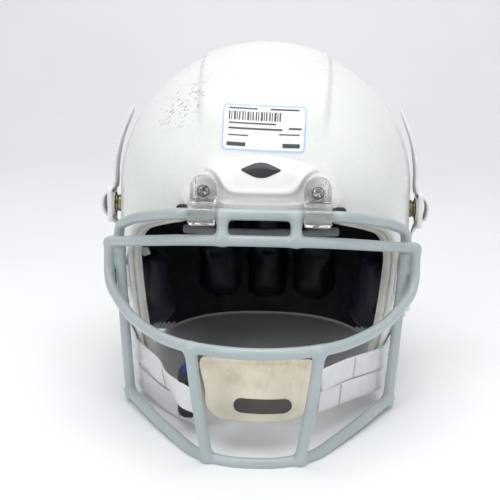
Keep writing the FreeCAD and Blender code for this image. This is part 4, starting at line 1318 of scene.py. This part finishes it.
def build_cup():
    """The hard cup with a rolled rim, a plain dark pill on it, and the foam behind it."""
    keep = in_front_of(CUP_OUTLINE, -147)

    def face(x, y, z):
        depth = keep(x, y, z)
        roll = 0.55 * (1 - ease(depth, 1.2, 3.0))
        panel = 0.35 * ease(depth, 6.5, 8.5)
        return roll + panel - 0.45

    cup = patch("chin_cup_moulding", cup_surface, CUP_TURNS, CUP_LIFTS, keep, face, -2.6, bulge=0.9,
                body="chin_cup", look="cup")
    stands_for(cup, "cup_cream", "chin_cup")
    pill = in_front_of(Outline([(-13, 27, 4.9), (22, 26, 4.9), (22, 36, 4.9), (-13, 37, 4.9)]), -150)
    mark = patch("chin_cup_pill", cup_surface, np.linspace(-2.2, -0.8, 150), np.linspace(-0.5, 0.2, 60), pill,
                 lambda x, y, z: face(x, y, z) + 0.28, lambda x, y, z: face(x, y, z) - 0.2, bulge=0.1,
                 body="chin_cup", look="mark")
    stands_for(mark, "mark_dark", "chin_cup_mark")
    foam_keep = in_front_of(FOAM_OUTLINE, -141)

    def foam_back(x, y, z):
        return -3.4 - 6.6 * np.sqrt(1 - (1 - np.clip(foam_keep(x, y, z) / 6, 0, 1)) ** 2)

    foam = patch("chin_cup_foam", cup_surface, np.linspace(-math.pi - 0.15, 0.15, 120),
                 np.linspace(-1.2, 1.2, 80), foam_keep, -2.7, foam_back, bulge=1.4,
                 body="chin_cup", look="foam")
    stands_for(foam, "cup_foam", "chin_cup_pad")
    build_cup_side()
    return foam, foam_keep, None


def build_cup_side():
    """The foam that stands out past the cup's left edge, and a blue tab sewn on top of it."""
    def bolster(x, y, z):
        dent = 0.5 * np.exp(-((z - 27.5) / 1.6) ** 2)
        return rounded_box((x + 43.5, y + 142.5, z - 27.5), (7.0, 6.0, 17.5), 5.5) + dent

    def slip(x, y, z):
        return rounded_box((x + 44.8, y + 147.2, z - 42.5), (1.9, 0.7, 5.5), 0.6)

    foam = net("chin_cup_foam_side", bolster, (-52, -150, 8), (-35, -135, 47), 0.6, body="chin_cup",
               look="foam")
    tab = net("chin_cup_foam_tab", slip, (-48, -149, 35), (-42, -145, 49), 0.4, body="chin_cup", look="tab")


def finish_pad(piece, keep):
    """The seam's own look along a pad's edge, and one round of smoothing."""
    piece.data.materials.append(MAT["seam"])
    points = places_of(piece) / MM - (0, SHELL_Y, 0)
    depth = keep(*points.T)
    for face in piece.data.polygons:
        if depth[list(face.vertices)].mean() < FLANGE:
            face.material_index = 1
    piece.data.shade_smooth()
    piece.modifiers.new("smooth", "SUBSURF").render_levels = 1


def build_tag():
    """A small white tag that hangs from the padding beside the left jaw pad."""
    outline = Outline([(-89.5, 102.6, 1), (-81.6, 102.6, 1), (-79.5, 97.6, 1), (-85.2, 95.8, 1)])
    tag = net("pad_tag", lambda x, y, z: smooth_max(-outline.depth(x, z), np.abs(y + 60) - 0.6, 0.4),
              (-92, -62, 93), (-77, -58, 105), 0.4, body="shell", look="trim")


def build_soft():
    build_tag()
    made = build_pads()
    foam = build_cup()
    blow_up(made + [foam])
    for piece, keep, _ in made:
        finish_pad(piece, keep)
    foam[0].data.shade_smooth()
    foam[0].modifiers.new("smooth", "SUBSURF").render_levels = 1

# ---------------------------------------------------------------- stage, light, camera


def build_stage():
    look = Look("stage", Roughness=0.6)
    pale = look.ramp(look.noise(3.0), (0.3, (0.86, 0.865, 0.87)), (0.7, (0.90, 0.905, 0.91)))
    look.feed("Base Color", pale)
    profile = [(-1.6, 0.0), (0.9, 0.0), (1.25, 0.05), (1.5, 0.22), (1.62, 0.6), (1.65, 1.8)]
    points = [(x, y, z) for y, z in profile for x in (-3.0, 3.0)]
    faces = [[2 * k, 2 * k + 1, 2 * k + 3, 2 * k + 2] for k in range(len(profile) - 1)]
    mesh = bpy.data.meshes.new("floor")
    mesh.from_pydata(points, [], faces)
    mesh.shade_smooth()
    mesh.materials.append(look.material)
    floor = bpy.data.objects.new("floor", mesh)
    floor.modifiers.new("sweep", "SUBSURF").render_levels = 3
    bpy.context.scene.collection.objects.link(floor)


def area_light(name, place, target, size, power, colour=(1, 1, 1)):
    data = bpy.data.lights.new(name, "AREA")
    data.shape, data.size, data.size_y = "RECTANGLE", *size
    data.energy, data.color = power, colour
    lamp = bpy.data.objects.new(name, data)
    lamp.location = place
    lamp.rotation_mode = "QUATERNION"
    lamp.rotation_quaternion = (Vector(target) - Vector(place)).to_track_quat("-Z", "Y")
    bpy.context.scene.collection.objects.link(lamp)


def build_light():
    area_light("top", (0.0, -0.15, 1.5), (0, 0, 0.1), (1.6, 1.4), 17)
    area_light("front_left", (-1.1, -1.5, 1.0), (0, 0, 0.1), (0.9, 0.9), 8)
    area_light("front_right", (1.2, -1.2, 0.8), (0, 0, 0.1), (0.9, 0.9), 5)
    world = bpy.data.worlds.new("studio")
    world.use_nodes = True
    world.node_tree.nodes["Background"].inputs["Color"].default_value = (0.93, 0.96, 1.0, 1)
    world.node_tree.nodes["Background"].inputs["Strength"].default_value = 0.50
    bpy.context.scene.world = world
    bpy.context.scene.view_settings.view_transform = "Standard"


def build_camera():
    """A camera before the face, a little above it, looking down, tilted by less than a degree."""
    azimuth, pitch, roll = (math.radians(d) for d in (2.3, 12.6, 0.8))
    forward = Vector((-math.sin(azimuth) * math.cos(pitch), math.cos(azimuth) * math.cos(pitch),
                      -math.sin(pitch)))
    right = forward.cross(Vector((0, 0, 1))).normalized()
    up = right.cross(forward)
    level_right = right * math.cos(roll) + up * math.sin(roll)
    level_up = up * math.cos(roll) - right * math.sin(roll)
    data = bpy.data.cameras.new("camera")
    data.sensor_width, data.lens = 36.0, 64.8
    camera = bpy.data.objects.new("camera", data)
    turned = Matrix((level_right, level_up, -forward)).transposed().to_4x4()
    camera.matrix_world = Matrix.Translation(Vector((16.0, SHELL_Y - 681.6, 241.2)) * MM) @ turned
    bpy.context.scene.collection.objects.link(camera)
    bpy.context.scene.camera = camera


for build in (build_shell, build_plate, build_label, build_bumper, build_opening_edge, build_faceguard,
              build_loop_clips, build_screws, build_side_clips, build_snaps, build_straps, build_soft,
              build_stage, build_light, build_camera):
    build()
